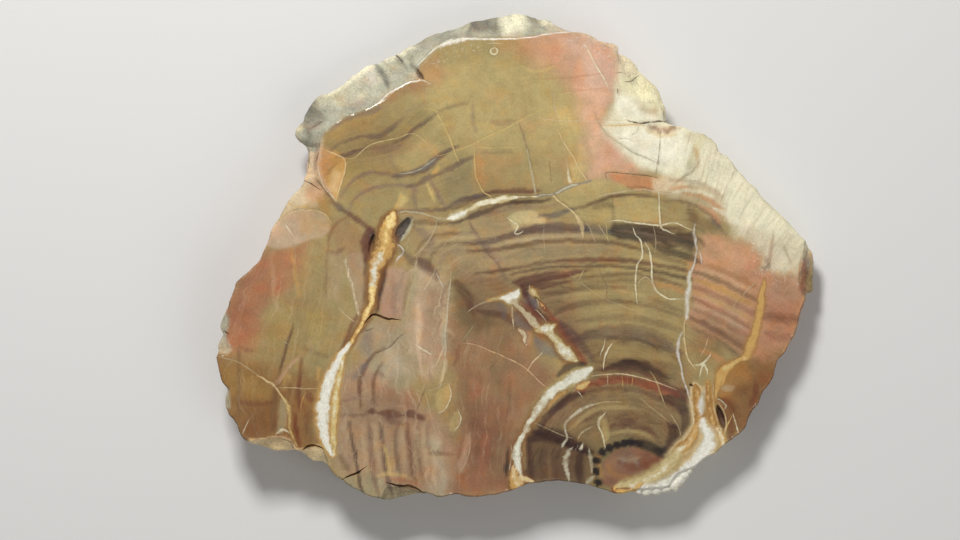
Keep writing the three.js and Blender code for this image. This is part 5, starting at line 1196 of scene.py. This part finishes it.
def curved(text, width=1.0, steps=5):
    # a smooth line through the points, as x, y and half width; it thins out towards its ends unless
    # the points give their own widths
    given = corners(text)
    points = np.vstack([given[:1], given, given[-1:]])
    line = []
    for i in range(len(given) - 1):
        a, b, c, d = points[i:i + 4]
        for t in np.arange(steps) / steps:
            bend = (2 * a - 5 * b + 4 * c - d) * t**2 + (3 * b - a - 3 * c + d) * t**3
            line.append(0.5 * (2 * b + (c - a) * t + bend))
    line = np.array([*line, given[-1]])
    if line.shape[1] == 2:
        share = np.linspace(0, 1, len(line))
        least, narrows = marking["lineTaper"]
        taper = least + (1 - least) * smoothStep(0, narrows, np.minimum(share, 1 - share))
        line = np.column_stack([line, width * taper])
    line[:, 2] = np.maximum(line[:, 2], marking["thinnest"]) / 2
    return line


def besideLine(places, line, reach):
    # which places lie within reach of the line, and there: how far away, on which side (+ left), the
    # line's half width, how far along it and how far past its ends, in mm
    low, high = line[:, :2].min(0) - reach, line[:, :2].max(0) + reach
    near = np.nonzero(((places > low) & (places < high)).all(1))[0]
    here = places[near]
    best = np.full(len(near), 1e9)
    side, half, along, past = np.ones((4, len(near)))
    run = 0
    for i in range(len(line) - 1):
        (ax, ay, aw), (bx, by, bw) = line[i], line[i + 1]
        length = max(math.hypot(bx - ax, by - ay), 1e-6)
        dx, dy = (bx - ax) / length, (by - ay) / length
        px, py = here[:, 0] - ax, here[:, 1] - ay
        free = px * dx + py * dy
        t = np.clip(free, 0, length)
        away = np.hypot(px - t * dx, py - t * dy)
        closer = away < best
        best[closer] = away[closer]
        side[closer] = np.where(dx * py - dy * px >= 0, 1, -1)[closer]
        half[closer] = (aw + (bw - aw) * t / length)[closer]
        along[closer] = (run + t)[closer]
        over = np.zeros(len(free))
        if i == 0:
            over = np.maximum(over, -free)
        if i == len(line) - 2:
            over = np.maximum(over, free - length)
        past[closer] = over[closer]
        run += length
    return near, best, side, half, along, past


def insideDepth(places, text, reach):
    # which places lie within the outline's box and reach, and how deep inside it they are
    outline = corners(text)
    ring = np.column_stack([np.vstack([outline, outline[:1]]), np.ones(len(outline) + 1)])
    near, away, *_ = besideLine(places, ring, reach)
    return near, np.where(insideOf(places[near], outline, np.roll(outline, -1, 0)), away, -away)


def ringOf(places):
    # outwards from the pith, in mm, between the two rings that a place lies between
    values, outside = [], []
    for value, line in rings:
        _, away, side, *_ = besideLine(places, curved(line), marking["ringReach"])
        values.append(value)
        outside.append(away * side)  # the lines run clockwise, so the left side is the outer one
    ring = values[0] + outside[0]
    for i in range(len(values) - 1):
        inner, outer = outside[i], -outside[i + 1]
        share = np.clip(inner / np.maximum(inner + np.maximum(outer, 0), 1e-6), 0, 1)
        ring = np.where(inner > 0, values[i] + (values[i + 1] - values[i]) * share, ring)
    return np.where(outside[-1] > 0, values[-1] + outside[-1], ring)


def warped(places, sway):
    # places moved about at random
    moved = places.copy()
    for far, cell in sway:
        seed = int(far * 1000 + cell * 10)
        moved += far * np.stack([softNoise(places, cell, seed), softNoise(places, cell, seed + 7)], 1)
    return moved


def layOver(ground, near, share, tone):
    ground[near] += share[:, None] * (linear(tone) - ground[near])


def paintGround(places, grown):
    # the coloured ground of the stone, field by field and stroke by stroke
    ground = np.tile(linear("olive"), (len(places), 1))
    soft = warped(places, marking["softSway"])
    fine = warped(places, marking["fineSway"])
    patchy = 0.5 + 0.5 * softNoise(grown / marking["patchSize"], 1, marking["patchSeed"])
    cloudy = 0.5 + 0.5 * softNoise(places, marking["cloudSize"], marking["cloudSeed"])
    most, cloudShare = marking["fieldStrength"]
    for tone, softness, strength, outline in fields:
        isSoft = softness > marking["softField"]
        near, deep = insideDepth(soft if isSoft else fine, outline, softness)
        share = strength * smoothStep(-softness, softness, deep)
        layOver(ground, near, share * (most + cloudShare * cloudy[near] * isSoft), tone)
    most, patchShare, cloudShare = marking["strokeStrength"]
    blurLeast, blurMore = marking["strokeBlur"]
    for tone, width, strength, line in strokes:
        near, away, _, half, _, _ = besideLine(fine, curved(line, width), marking["strokeReach"])
        wide = np.maximum(half, marking["thinStroke"])
        blur = blurLeast + blurMore * half
        share = half / wide * (1 - smoothStep(-blur, blur, away - wide))
        uneven = most + patchShare * patchy[near] + cloudShare * cloudy[near]
        layOver(ground, near, strength * share * uneven, tone)
    for tone, width, spots in beads:
        for x, y in corners(spots):
            away = np.hypot(fine[:, 0] - x, fine[:, 1] - y) - width / 2
            share = marking["beadStrength"] * (1 - smoothStep(*marking["beadEdge"], away))
            layOver(ground, slice(None), share, tone)
    for *tint, softness, outline in washes:
        near, deep = insideDepth(soft, outline, softness)
        share = smoothStep(-softness, softness, deep)[:, None]
        ground[near] *= 1 + share * (np.array(tint) ** marking["washPower"] - 1)
    return ground


def sortHairs():
    # hairlines that come near one another go into different channels, so that each keeps its own line
    channels = []
    for tone, width, strength, text in hairs:
        line = curved(text, width)
        hair = (tone, strength, line)
        for channel in channels:
            gaps = [np.hypot(*(line[:, None, :2] - other[None, :, :2]).T).min() for _, _, other in channel]
            if min(gaps) > marking["hairGap"]:
                channel.append(hair)
                break
        else:
            channels.append([hair])
    return channels


def addField(mesh, name, values):
    values = np.asarray(values, np.float32)
    flat = values.ndim == 1
    made = mesh.attributes.new(name, "FLOAT" if flat else "FLOAT_COLOR", "POINT")
    made.data.foreach_set("value" if flat else "color", values.ravel())


def zoneShare(places, zones):
    # how far each place lies in one of the zones, from 0 to 1
    share = np.zeros(len(places))
    for softness, strength, outline in zones:
        near, deep = insideDepth(places, outline, softness)
        share[near] = np.maximum(share[near], strength * smoothStep(-softness, softness, deep))
    return share


def markHairs(mesh, places):
    # for each channel: how many half widths a place lies beside its hairline, and the hairline's colour
    shaken = warped(places, marking["hairSway"])
    channels = sortHairs()
    for number, channel in enumerate(channels):
        across = np.full(len(places), marking["hairFar"])
        closest = np.full(len(places), 1e9)
        colour = np.zeros((len(places), 4))
        for tone, strength, line in channel:
            near, away, side, half, _, past = besideLine(shaken, line, marking["hairReach"])
            closer = away < closest[near]
            near, away, side, half, past = (values[closer] for values in (near, away, side, half, past))
            closest[near] = away
            across[near] = side * away / half
            colour[near, :3] = linear(tone)
            fade = (1 - smoothStep(*marking["hairFade"], away)) * (1 - smoothStep(*marking["hairEnd"], past))
            colour[near, 3] = strength * fade
        addField(mesh, f"hairAcross{number}", across)
        addField(mesh, f"hair{number}", colour)
    return len(channels)


def markVeins(mesh, places):
    # an edge, a body and a core, each with its own tone; where two veins meet they run together
    shaken = warped(places, marking["veinSway"])
    far, nearBy = marking["veinFar"]
    least, most = marking["veinHalf"]
    share = np.full(len(places), far)
    layers = np.tile([*linear("ochre"), 0.0], (3, len(places), 1))
    along, across = np.zeros((2, len(places)))
    for edge, body, core, whiteness, halo, text in veins:
        near, away, side, half, run, _ = besideLine(shaken, curved(text), marking["veinReach"])
        inside = (half - away) / np.where(away < half, np.maximum(half, least), np.clip(half, least, most))
        weight = np.where(share[near] < nearBy, 1, smoothStep(*marking["veinMeet"], inside))[:, None]
        for layer, tone, extra in zip(layers, (edge, body, core), (halo, 0, whiteness)):
            layer[near] += weight * (np.array([*linear(tone), extra]) - layer[near])
        deeper = inside > share[near]
        near = near[deeper]
        share[near], along[near], across[near] = inside[deeper], run[deeper], (side * away)[deeper]
    addField(mesh, "veinShare", share)
    for name, layer in zip(("veinEdge", "veinBody", "veinCore"), layers):
        addField(mesh, name, layer)
    addField(mesh, "veinAlong", along)
    addField(mesh, "veinAcross", across)


def markSlice(piece):
    mesh = piece.data
    points = pointsOf(piece)
    places = points[:, :2].copy()
    ring = ringOf(places)
    x, y = (places - marking["pith"]).T
    turn = marking["turnReach"] * np.arctan2(x, y)
    addField(mesh, "ring", ring)
    addField(mesh, "turn", turn)
    ground = paintGround(places, np.stack([ring, turn], 1))
    addField(mesh, "ground", np.column_stack([ground, np.ones(len(ground))]))
    addField(mesh, "below", faceLevel(points[:, 0]) - points[:, 2])
    zones = [zoneShare(places, zone) for zone in (wisps, banded, dustAndGlintZones, striated)]
    addField(mesh, "zones", np.column_stack(zones))
    channels = markHairs(mesh, places)
    markVeins(mesh, places)
    return channels


hairChannels = markSlice(piece)
print("marked,", hairChannels, "channels of hairlines")


# noise in the stone: scale (for each m, or for each mm along the rings), detail, roughness, and how
# far it swings to both sides where it isn't read as 0 to 1
grains = {
    "wander": (160, 2, 0.55, 0.6),
    "fineRings": (1.7, 4, 0.72, 1),
    "broadRings": (0.5, 2, 0.5, 0.06),
    "rays": (2.2, 4, 0.75, 1),
    "striae": (2.4, 3, 0.7, 0.12),
    "clouds": (300, 5, 0.65, 0.1),
    "drifts": (75, 3, 0.55, 0.06),
    "specks": (2600, 2, 0.6, 0.09),
    "hue": (330, 4, 0.6, 1),
    "rosy": (170, 4, 0.6),
    "growthLines": (1.4, 3, 0.6),
    "growthPlaces": (90, 2, 0.55),
    "fibreSway": (240, 3, 0.55, 0.9),
    "fibres": (1.1, 5, 0.7),
    "dust": (1900, 3, 0.6),
    "hairEdge": (1500, 3, 0.55, 0.35),
    "hairGaps": (650, 4, 0.55),
    "hairStain": (420, 3, 0.55),
    "streaks": (0.9, 4, 0.6, 1),
    "veinEdge": (700, 4, 0.65, 0.22),
    "veinPatches": (380, 3, 0.55),
    "crystals": (1300, 4, 0.7, 0.15),
    "mixed": (430, 4, 0.65, 0.5),
    "polish": (500, 3, 0.55),
    "dirt": (120, 4, 0.55),
    "rough": (700, 4, 0.55),
    "pits": (700, 5, 0.65),
    "finePits": (2600, 4, 0.6),
}
noiseRange = (0.3, 0.7)  # nearly all noise lies between these
# how a value becomes a share: where it starts, where it ends, and what comes out there if not 0 and 1
ramps = {
    "pale": (0.42, 0.7),  # brightness of pale stone
    "dark": (0.28, 0.1, 0.08, 0.3),  # growth lines show most in the dark bands
    "banding": (0, 1, 0.3, 1.0),
    "rays": (0, 1, 0.05, 0.08),
    "plain": (0, 1, 1.0, 0.25),
    "rosy": (0.5, 0.66, 0, 0.8),
    "growthLines": (0.56, 0.64),
    "growthPlaces": (0.4, 0.6, 0.15, 1),
    "growthDark": (0.26, 0.42, 0.28, 0.06),
    "fibres": (0.52, 0.68),
    "dust": (0.58, 0.68),
    "hairGaps": (0.36, 0.56, 0.5, 1.0),
    "hairStain": (0.4, 0.6, 0, 0.4),
    "shadowStart": (0.6, 1.5),  # in half widths beside a hairline
    "shadowEnd": (3.2, 1.8),
    "hairEdge": (1.3, 0.2),
    "veinPatches": (0.36, 0.6),
    "halo": (-1.6, -0.1),  # depth in the vein: 0 at its edge, 1 in the middle
    "haloPatches": (0, 1, 0.35, 0.75),
    "body": (0.0, 0.5),
    "core": (0.7, 1.5),
    "stained": (0.1, 1.2),
    "stainMost": (0, 1, 0.2, 0.6),
    "clear": (0.0, -1.1),
    "clearMost": (0, 1, 0.2, 0.6),
    "sparks": (0.0, 0.08),
    "vein": (-0.8, 0.6),
    "polish": (0.3, 0.7, 0.18, 0.28),
    "dirt": (0.35, 0.6, 0.3, 0.8),
    "dirtDepth": (5.5, 8.5),  # mm below the face
    "rough": (0.3, 0.7, 0.5, 0.8),
    "saw": (0, 1, 0.55, 0.7),
}
# growth is drawn out into lines: how much of a mm counts, round the pith or outwards, and how much
# of a metre downwards
drawnOut = {"rings": 0.12, "down": 60, "rays": 0.16, "longRays": 0.03, "fibres": 0.14, "vein": (2.4, 0.5)}
# how much there is of each
amounts = {
    "light": 1.05,
    "hairShadow": 0.3,
    "dust": 0.45,
    "veinStreaks": 0.14,
    "sparks": 0.5,
    "crystalRelief": 3.0,
    "quartzRoughness": 0.14,
    "sawDust": 0.3,
    "finePits": 0.3,
}
fibreTones = ((0.0, "peachPale", 0.6), (40.0, "mauve", 0.5))  # seed, tone, strength
# what a tint leaves of red, green and blue
tints = {
    "warm": (1.07, 0.97, 0.82, 1),
    "cool": (0.95, 1.0, 1.0, 1),
    "rosy": (1.06, 0.94, 0.95, 1),
    "growthLines": (0.62, 0.56, 0.5, 1),
    "hairShadow": (0.66, 0.6, 0.56, 1),
    "hairStain": (0.84, 0.76, 0.62, 1),
    "halo": (0.86, 0.8, 0.74, 1),
    "clear": (0.74, 0.71, 0.66, 1),
}


# node helpers
def addNode(tree, kind, inputs=(), **settings):
    # inputs: pairs of socket and what goes in, a value or another node's output
    node = tree.nodes.new("ShaderNode" + kind)
    for name, value in settings.items():
        setattr(node, name, value)
    for socket, value in inputs:
        if isinstance(value, bpy.types.NodeSocket):
            tree.links.new(value, node.inputs[socket])
        else:
            node.inputs[socket].default_value = value
    return node


def maths(tree, operation, *values, clamp=False):
    # the operation run over the values from left to right
    result = values[0]
    for value in values[1:] or (0.0,):
        node = addNode(tree, "Math", [(0, result), (1, value)], operation=operation, use_clamp=clamp)
        result = node.outputs[0]
    return result


def times(tree, *values):
    return maths(tree, "MULTIPLY", *values)


def plus(tree, *values):
    return maths(tree, "ADD", *values)


def plane(tree, x, y, z=0.0):
    return addNode(tree, "CombineXYZ", [(0, x), (1, y), (2, z)]).outputs[0]


def spread(tree, value, low, high, outLow, outHigh, kind):
    node = addNode(tree, "MapRange", [(0, value), (1, low), (2, high), (3, outLow), (4, outHigh)])
    node.interpolation_type = kind
    return node.outputs[0]


def ramp(tree, value, name, kind="SMOOTHSTEP"):
    return spread(tree, value, *(*ramps[name], 0.0, 1.0)[:4], kind)


def grain(tree, vector, name):
    scale, detail, roughness, *swing = grains[name]
    inputs = [("Vector", vector), ("Scale", scale), ("Detail", detail), ("Roughness", roughness)]
    value = addNode(tree, "TexNoise", inputs).outputs["Fac"]
    return spread(tree, value, *noiseRange, -swing[0], swing[0], "LINEAR") if swing else value


def patches(tree, vector, name):
    # where a noise is high, by the ramp of the same name
    return ramp(tree, grain(tree, vector, name), name)


def blend(tree, share, first, second, kind="MIX"):
    inputs = [(0, share), (6, first), (7, second)]
    return addNode(tree, "Mix", inputs, data_type="RGBA", blend_type=kind).outputs[2]


def tinted(tree, share, colour, name):
    return blend(tree, share, colour, tints[name], "MULTIPLY")


def lit(tree, colour, light):
    lights = addNode(tree, "CombineColor", [(0, light), (1, light), (2, light)]).outputs[0]
    return blend(tree, 1.0, colour, lights, "MULTIPLY")


def field(tree, name, output="Fac"):
    return addNode(tree, "Attribute", attribute_name=name).outputs[output]


def colour4(tone):
    return (*linear(tone), 1.0)


def newGroup(name, inputs, outputs):
    group = bpy.data.node_groups.new(name, "ShaderNodeTree")
    for socket, value in inputs:
        made = group.interface.new_socket(socket, in_out="INPUT", socket_type="NodeSocketFloat")
        made.default_value = value
    for socket, kind in outputs:
        group.interface.new_socket(socket, in_out="OUTPUT", socket_type="NodeSocket" + kind)
    return group, group.nodes.new("NodeGroupInput"), group.nodes.new("NodeGroupOutput")


def addHairlines(tree, place, colour):
    # hairlines, with a faint shadow along one side
    ragged = grain(tree, place, "hairEdge")
    broken, stain = patches(tree, place, "hairGaps"), patches(tree, place, "hairStain")
    for number in range(hairChannels):
        across, strength = field(tree, f"hairAcross{number}"), field(tree, f"hair{number}", "Alpha")
        beside = times(tree, ramp(tree, across, "shadowStart"), ramp(tree, across, "shadowEnd"))
        colour = tinted(tree, times(tree, beside, strength, amounts["hairShadow"]), colour, "hairShadow")
        ridge = ramp(tree, plus(tree, maths(tree, "ABSOLUTE", across), ragged), "hairEdge")
        tone = tinted(tree, stain, field(tree, f"hair{number}", "Color"), "hairStain")
        colour = blend(tree, times(tree, ridge, strength, broken), colour, tone)
    return colour


def addVeins(tree, place, colour):
    # veins: a stained halo, an edge, a body and a core of small crystals
    edge, halo = field(tree, "veinEdge", "Color"), field(tree, "veinEdge", "Alpha")
    core, whiteness = field(tree, "veinCore", "Color"), field(tree, "veinCore", "Alpha")
    parts = zip(("veinAcross", "veinAlong"), drawnOut["vein"])
    across, along = (times(tree, field(tree, name), share) for name, share in parts)
    streaks = grain(tree, plane(tree, across, along), "streaks")
    deep = plus(tree, field(tree, "veinShare"), grain(tree, place, "veinEdge"),
                times(tree, streaks, amounts["veinStreaks"]))
    cloudy = patches(tree, place, "veinPatches")
    crystals = grain(tree, place, "crystals")
    mixed = grain(tree, place, "mixed")
    haloShare = times(tree, ramp(tree, deep, "halo"), halo, ramp(tree, cloudy, "haloPatches"))
    colour = blend(tree, haloShare, colour, tinted(tree, 1.0, edge, "halo"))
    body = blend(tree, ramp(tree, deep, "body"), edge, field(tree, "veinBody", "Color"))
    inCore = ramp(tree, plus(tree, deep, whiteness, mixed), "core")
    filling = blend(tree, inCore, body, core)
    # streaks along the vein, some stained ochre, some grey and half clear
    streaky = plus(tree, streaks, mixed)
    stained = times(tree, ramp(tree, streaky, "stained"), ramp(tree, halo, "stainMost"))
    filling = blend(tree, stained, filling, colour4("resin"))
    clear = times(tree, ramp(tree, streaky, "clear"), ramp(tree, cloudy, "clearMost"))
    filling = tinted(tree, clear, filling, "clear")
    sparks = times(tree, ramp(tree, crystals, "sparks"), inCore, whiteness, amounts["sparks"])
    filling = blend(tree, sparks, filling, colour4("white"))
    inVein = ramp(tree, deep, "vein")
    colour = blend(tree, inVein, colour, lit(tree, filling, plus(tree, 1.0, crystals)))
    return colour, times(tree, inVein, inCore), times(tree, crystals, inVein, amounts["crystalRelief"])


def woodColourGroup():
    # the stone's colour: ground, growth lines, rays, mottling, hairlines and veins
    tree, into, out = newGroup("araucariaColour", [("Rings", 1.0), ("Mottle", 1.0)],
                               [("Colour", "Color"), ("Quartz", "Float"), ("Height", "Float")])
    ringsMost, mottleMost = into.outputs["Rings"], into.outputs["Mottle"]
    place = addNode(tree, "TexCoord").outputs["Object"]
    ring, turn = field(tree, "ring"), field(tree, "turn")
    height = addNode(tree, "SeparateXYZ", [(0, place)]).outputs["Z"]
    ground = field(tree, "ground", "Color")
    # ring and turn as a plane in which growth runs straight
    straight = plane(tree, plus(tree, ring, grain(tree, place, "wander")),
                     times(tree, turn, drawnOut["rings"]), times(tree, height, drawnOut["down"]))
    rays, longRays = (plane(tree, times(tree, ring, drawnOut[name]), turn) for name in ("rays", "longRays"))
    split = addNode(tree, "SeparateColor", [(0, field(tree, "zones", "Color"))])
    wisp, banded, dustAndGlintZones = split.outputs[0], split.outputs[1], split.outputs[2]
    bright = addNode(tree, "RGBToBW", [(0, ground)]).outputs[0]
    pale = ramp(tree, bright, "pale")
    banding = ramp(tree, banded, "banding")
    fineRings = times(tree, grain(tree, straight, "fineRings"), ramp(tree, bright, "dark"), banding)
    broadRings = times(tree, grain(tree, straight, "broadRings"), banding)
    rayLines = times(tree, grain(tree, rays, "rays"), ramp(tree, pale, "rays"))
    striae = times(tree, grain(tree, longRays, "striae"), field(tree, "zones", "Alpha"))
    specks = grain(tree, place, "specks")
    shade = times(tree, ringsMost, plus(tree, fineRings, broadRings, rayLines, striae))
    clouds, drifts = grain(tree, place, "clouds"), grain(tree, place, "drifts")
    mottle = times(tree, mottleMost, plus(tree, clouds, specks, drifts))
    colour = lit(tree, ground, plus(tree, amounts["light"], shade, mottle))
    # patches warmer, greener or pinker than the rest, least in the pale stone
    plain = ramp(tree, pale, "plain")
    hue = times(tree, grain(tree, place, "hue"), plain)
    rosy = times(tree, patches(tree, place, "rosy"), plain)
    for share, tint in ((hue, "warm"), (times(tree, hue, -1), "cool"), (rosy, "rosy")):
        colour = tinted(tree, maths(tree, "MULTIPLY", share, 1.0, clamp=True), colour, tint)
    # thin dark growth lines here and there
    lines, where = patches(tree, straight, "growthLines"), patches(tree, place, "growthPlaces")
    thin = times(tree, lines, where, ringsMost, ramp(tree, bright, "growthDark"), banding)
    colour = tinted(tree, thin, colour, "growthLines")
    # pale and dark wisps of old fibres
    fibres = plane(tree, plus(tree, ring, grain(tree, place, "fibreSway")),
                   times(tree, turn, drawnOut["fibres"]))
    for seed, tone, most in fibreTones:
        moved = addNode(tree, "VectorMath", [(0, fibres), (1, (seed, seed, 0))], operation="ADD").outputs[0]
        lines = times(tree, patches(tree, moved, "fibres"), wisp, most)
        colour = blend(tree, lines, colour, colour4(tone))
    # white powder in the pores, and painted glints near the top edge
    dust = times(tree, patches(tree, place, "dust"), dustAndGlintZones, amounts["dust"])
    colour = blend(tree, dust, colour, colour4("white"))
    colour = addHairlines(tree, place, colour)
    colour, quartz, relief = addVeins(tree, place, colour)
    tree.links.new(colour, out.inputs["Colour"])
    tree.links.new(quartz, out.inputs["Quartz"])
    tree.links.new(plus(tree, relief, specks), out.inputs["Height"])
    return tree


# how much each finish shows of the rings and the mottling, and the strength and depth of its relief
finishes = {
    "polishedAraucaria": (1.0, 1.0, 0.12, 0.0002),
    "brokenRind": (1.0, 2.4, 0.6, 0.0004),
    "sawnUnderside": (0.8, 1.4, 0.25, 0.0002),
}
polishIor = 1.54
sawMarks = [("Scale", 160.0), ("Distortion", 1.5), ("Detail", 3.0)]


def newMaterial(name, group):
    material = bpy.data.materials.new(name)
    material.use_nodes = True
    tree = material.node_tree
    colour = tree.nodes.new("ShaderNodeGroup")
    colour.node_tree = group
    colour.inputs["Rings"].default_value, colour.inputs["Mottle"].default_value = finishes[name][:2]
    return material, tree, colour, addNode(tree, "TexCoord").outputs["Object"]


def intoShader(material, base, rough, height):
    tree = material.node_tree
    shader = tree.nodes["Principled BSDF"]
    strength, depth = finishes[material.name][2:]
    bump = addNode(tree, "Bump", [("Height", height), ("Strength", strength), ("Distance", depth)])
    tree.links.new(base, shader.inputs["Base Color"])
    tree.links.new(rough, shader.inputs["Roughness"])
    tree.links.new(bump.outputs[0], shader.inputs["Normal"])
    return shader


def polishedMaterial(group):
    material, tree, colour, place = newMaterial("polishedAraucaria", group)
    rough = plus(tree, ramp(tree, grain(tree, place, "polish"), "polish", "LINEAR"),
                 times(tree, colour.outputs["Quartz"], amounts["quartzRoughness"]))
    shader = intoShader(material, colour.outputs["Colour"], rough, colour.outputs["Height"])
    shader.inputs["IOR"].default_value = polishIor
    return material


def brokenMaterial(group):
    material, tree, colour, place = newMaterial("brokenRind", group)
    # lower down the wall the stone is browner and dirtier
    dirt = times(tree, ramp(tree, field(tree, "below"), "dirtDepth"), patches(tree, place, "dirt"))
    base = blend(tree, dirt, colour.outputs["Colour"], colour4("rind"))
    rough = ramp(tree, grain(tree, place, "rough"), "rough", "LINEAR")
    pitting = plus(tree, grain(tree, place, "pits"),
                   times(tree, grain(tree, place, "finePits"), amounts["finePits"]))
    intoShader(material, base, rough, pitting)
    return material


def sawnMaterial(group):
    material, tree, colour, place = newMaterial("sawnUnderside", group)
    base = blend(tree, amounts["sawDust"], colour.outputs["Colour"], colour4("tanPale"))
    saw = addNode(tree, "TexWave", [("Vector", place), *sawMarks]).outputs["Fac"]
    intoShader(material, base, ramp(tree, saw, "saw", "LINEAR"), saw)
    return material


colourGroup = woodColourGroup()
for material in (polishedMaterial(colourGroup), brokenMaterial(colourGroup), sawnMaterial(colourGroup)):
    piece.data.materials.append(material)
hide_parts(stone["node"])
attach(piece, "root")
print("finished:", len(piece.data.materials), "materials")


# floor, light and camera; lengths in m
setting = {
    "floorSize": 1.6,
    "floorTone": (0.78, 0.77, 0.75, 1),
    "floorRoughness": 0.8,
    "floorBelow": 0.00002,  # keeps the floor clear of the sole
    "worldLight": 0.17,
    "cameraAim": (-0.0072, -0.003, 0.011),  # what stands in the middle of the photograph
    "frameWidth": 0.192,  # how much of the face the photograph's width takes in
    "lens": 180,
    "sensor": 36,
    "clip": (0.05, 10),
    "keyPlace": (-0.12, 0.34, 0.42),
    "keySize": 0.12,
    "keyPower": 2.45,
    "fillPlace": (0.3, -0.35, 0.5),
    "fillSize": 0.5,
    "fillPower": 0.95,
}


def addLamp(name, place, size, power):
    bpy.ops.object.light_add(type="AREA", location=place)
    lamp = bpy.context.object
    lamp.name = name
    lamp.data.size = size
    lamp.data.energy = power
    lamp.rotation_euler = Vector(place).to_track_quat("Z", "Y").to_euler()


bpy.ops.object.select_all(action="DESELECT")
bpy.ops.mesh.primitive_plane_add(size=setting["floorSize"], location=(0, 0, -setting["floorBelow"]))
floor = bpy.context.object
floor.name = "floor"
bpy.ops.object.transform_apply(location=True)
floorMaterial = bpy.data.materials.new("paleFloor")
floorMaterial.use_nodes = True
floorShader = floorMaterial.node_tree.nodes["Principled BSDF"]
floorShader.inputs["Base Color"].default_value = setting["floorTone"]
floorShader.inputs["Roughness"].default_value = setting["floorRoughness"]
floor.data.materials.append(floorMaterial)
world = bpy.data.worlds.new("studio")
world.use_nodes = True
world.node_tree.nodes["Background"].inputs["Color"].default_value = (1, 1, 1, 1)
world.node_tree.nodes["Background"].inputs["Strength"].default_value = setting["worldLight"]
bpy.context.scene.world = world
addLamp("key", setting["keyPlace"], setting["keySize"], setting["keyPower"])
addLamp("fill", setting["fillPlace"], setting["fillSize"], setting["fillPower"])
bpy.context.scene.view_settings.view_transform = "Standard"

camera = bpy.data.objects.new("camera", bpy.data.cameras.new("camera"))
bpy.context.scene.collection.objects.link(camera)
camera.data.lens = setting["lens"]
camera.data.sensor_width = setting["sensor"]
aim = Vector(setting["cameraAim"])
camera.location = aim + Vector((0, 0, setting["frameWidth"] * setting["lens"] / setting["sensor"]))
camera.data.clip_start, camera.data.clip_end = setting["clip"]
bpy.context.scene.camera = camera
print("floor, lights and camera set")
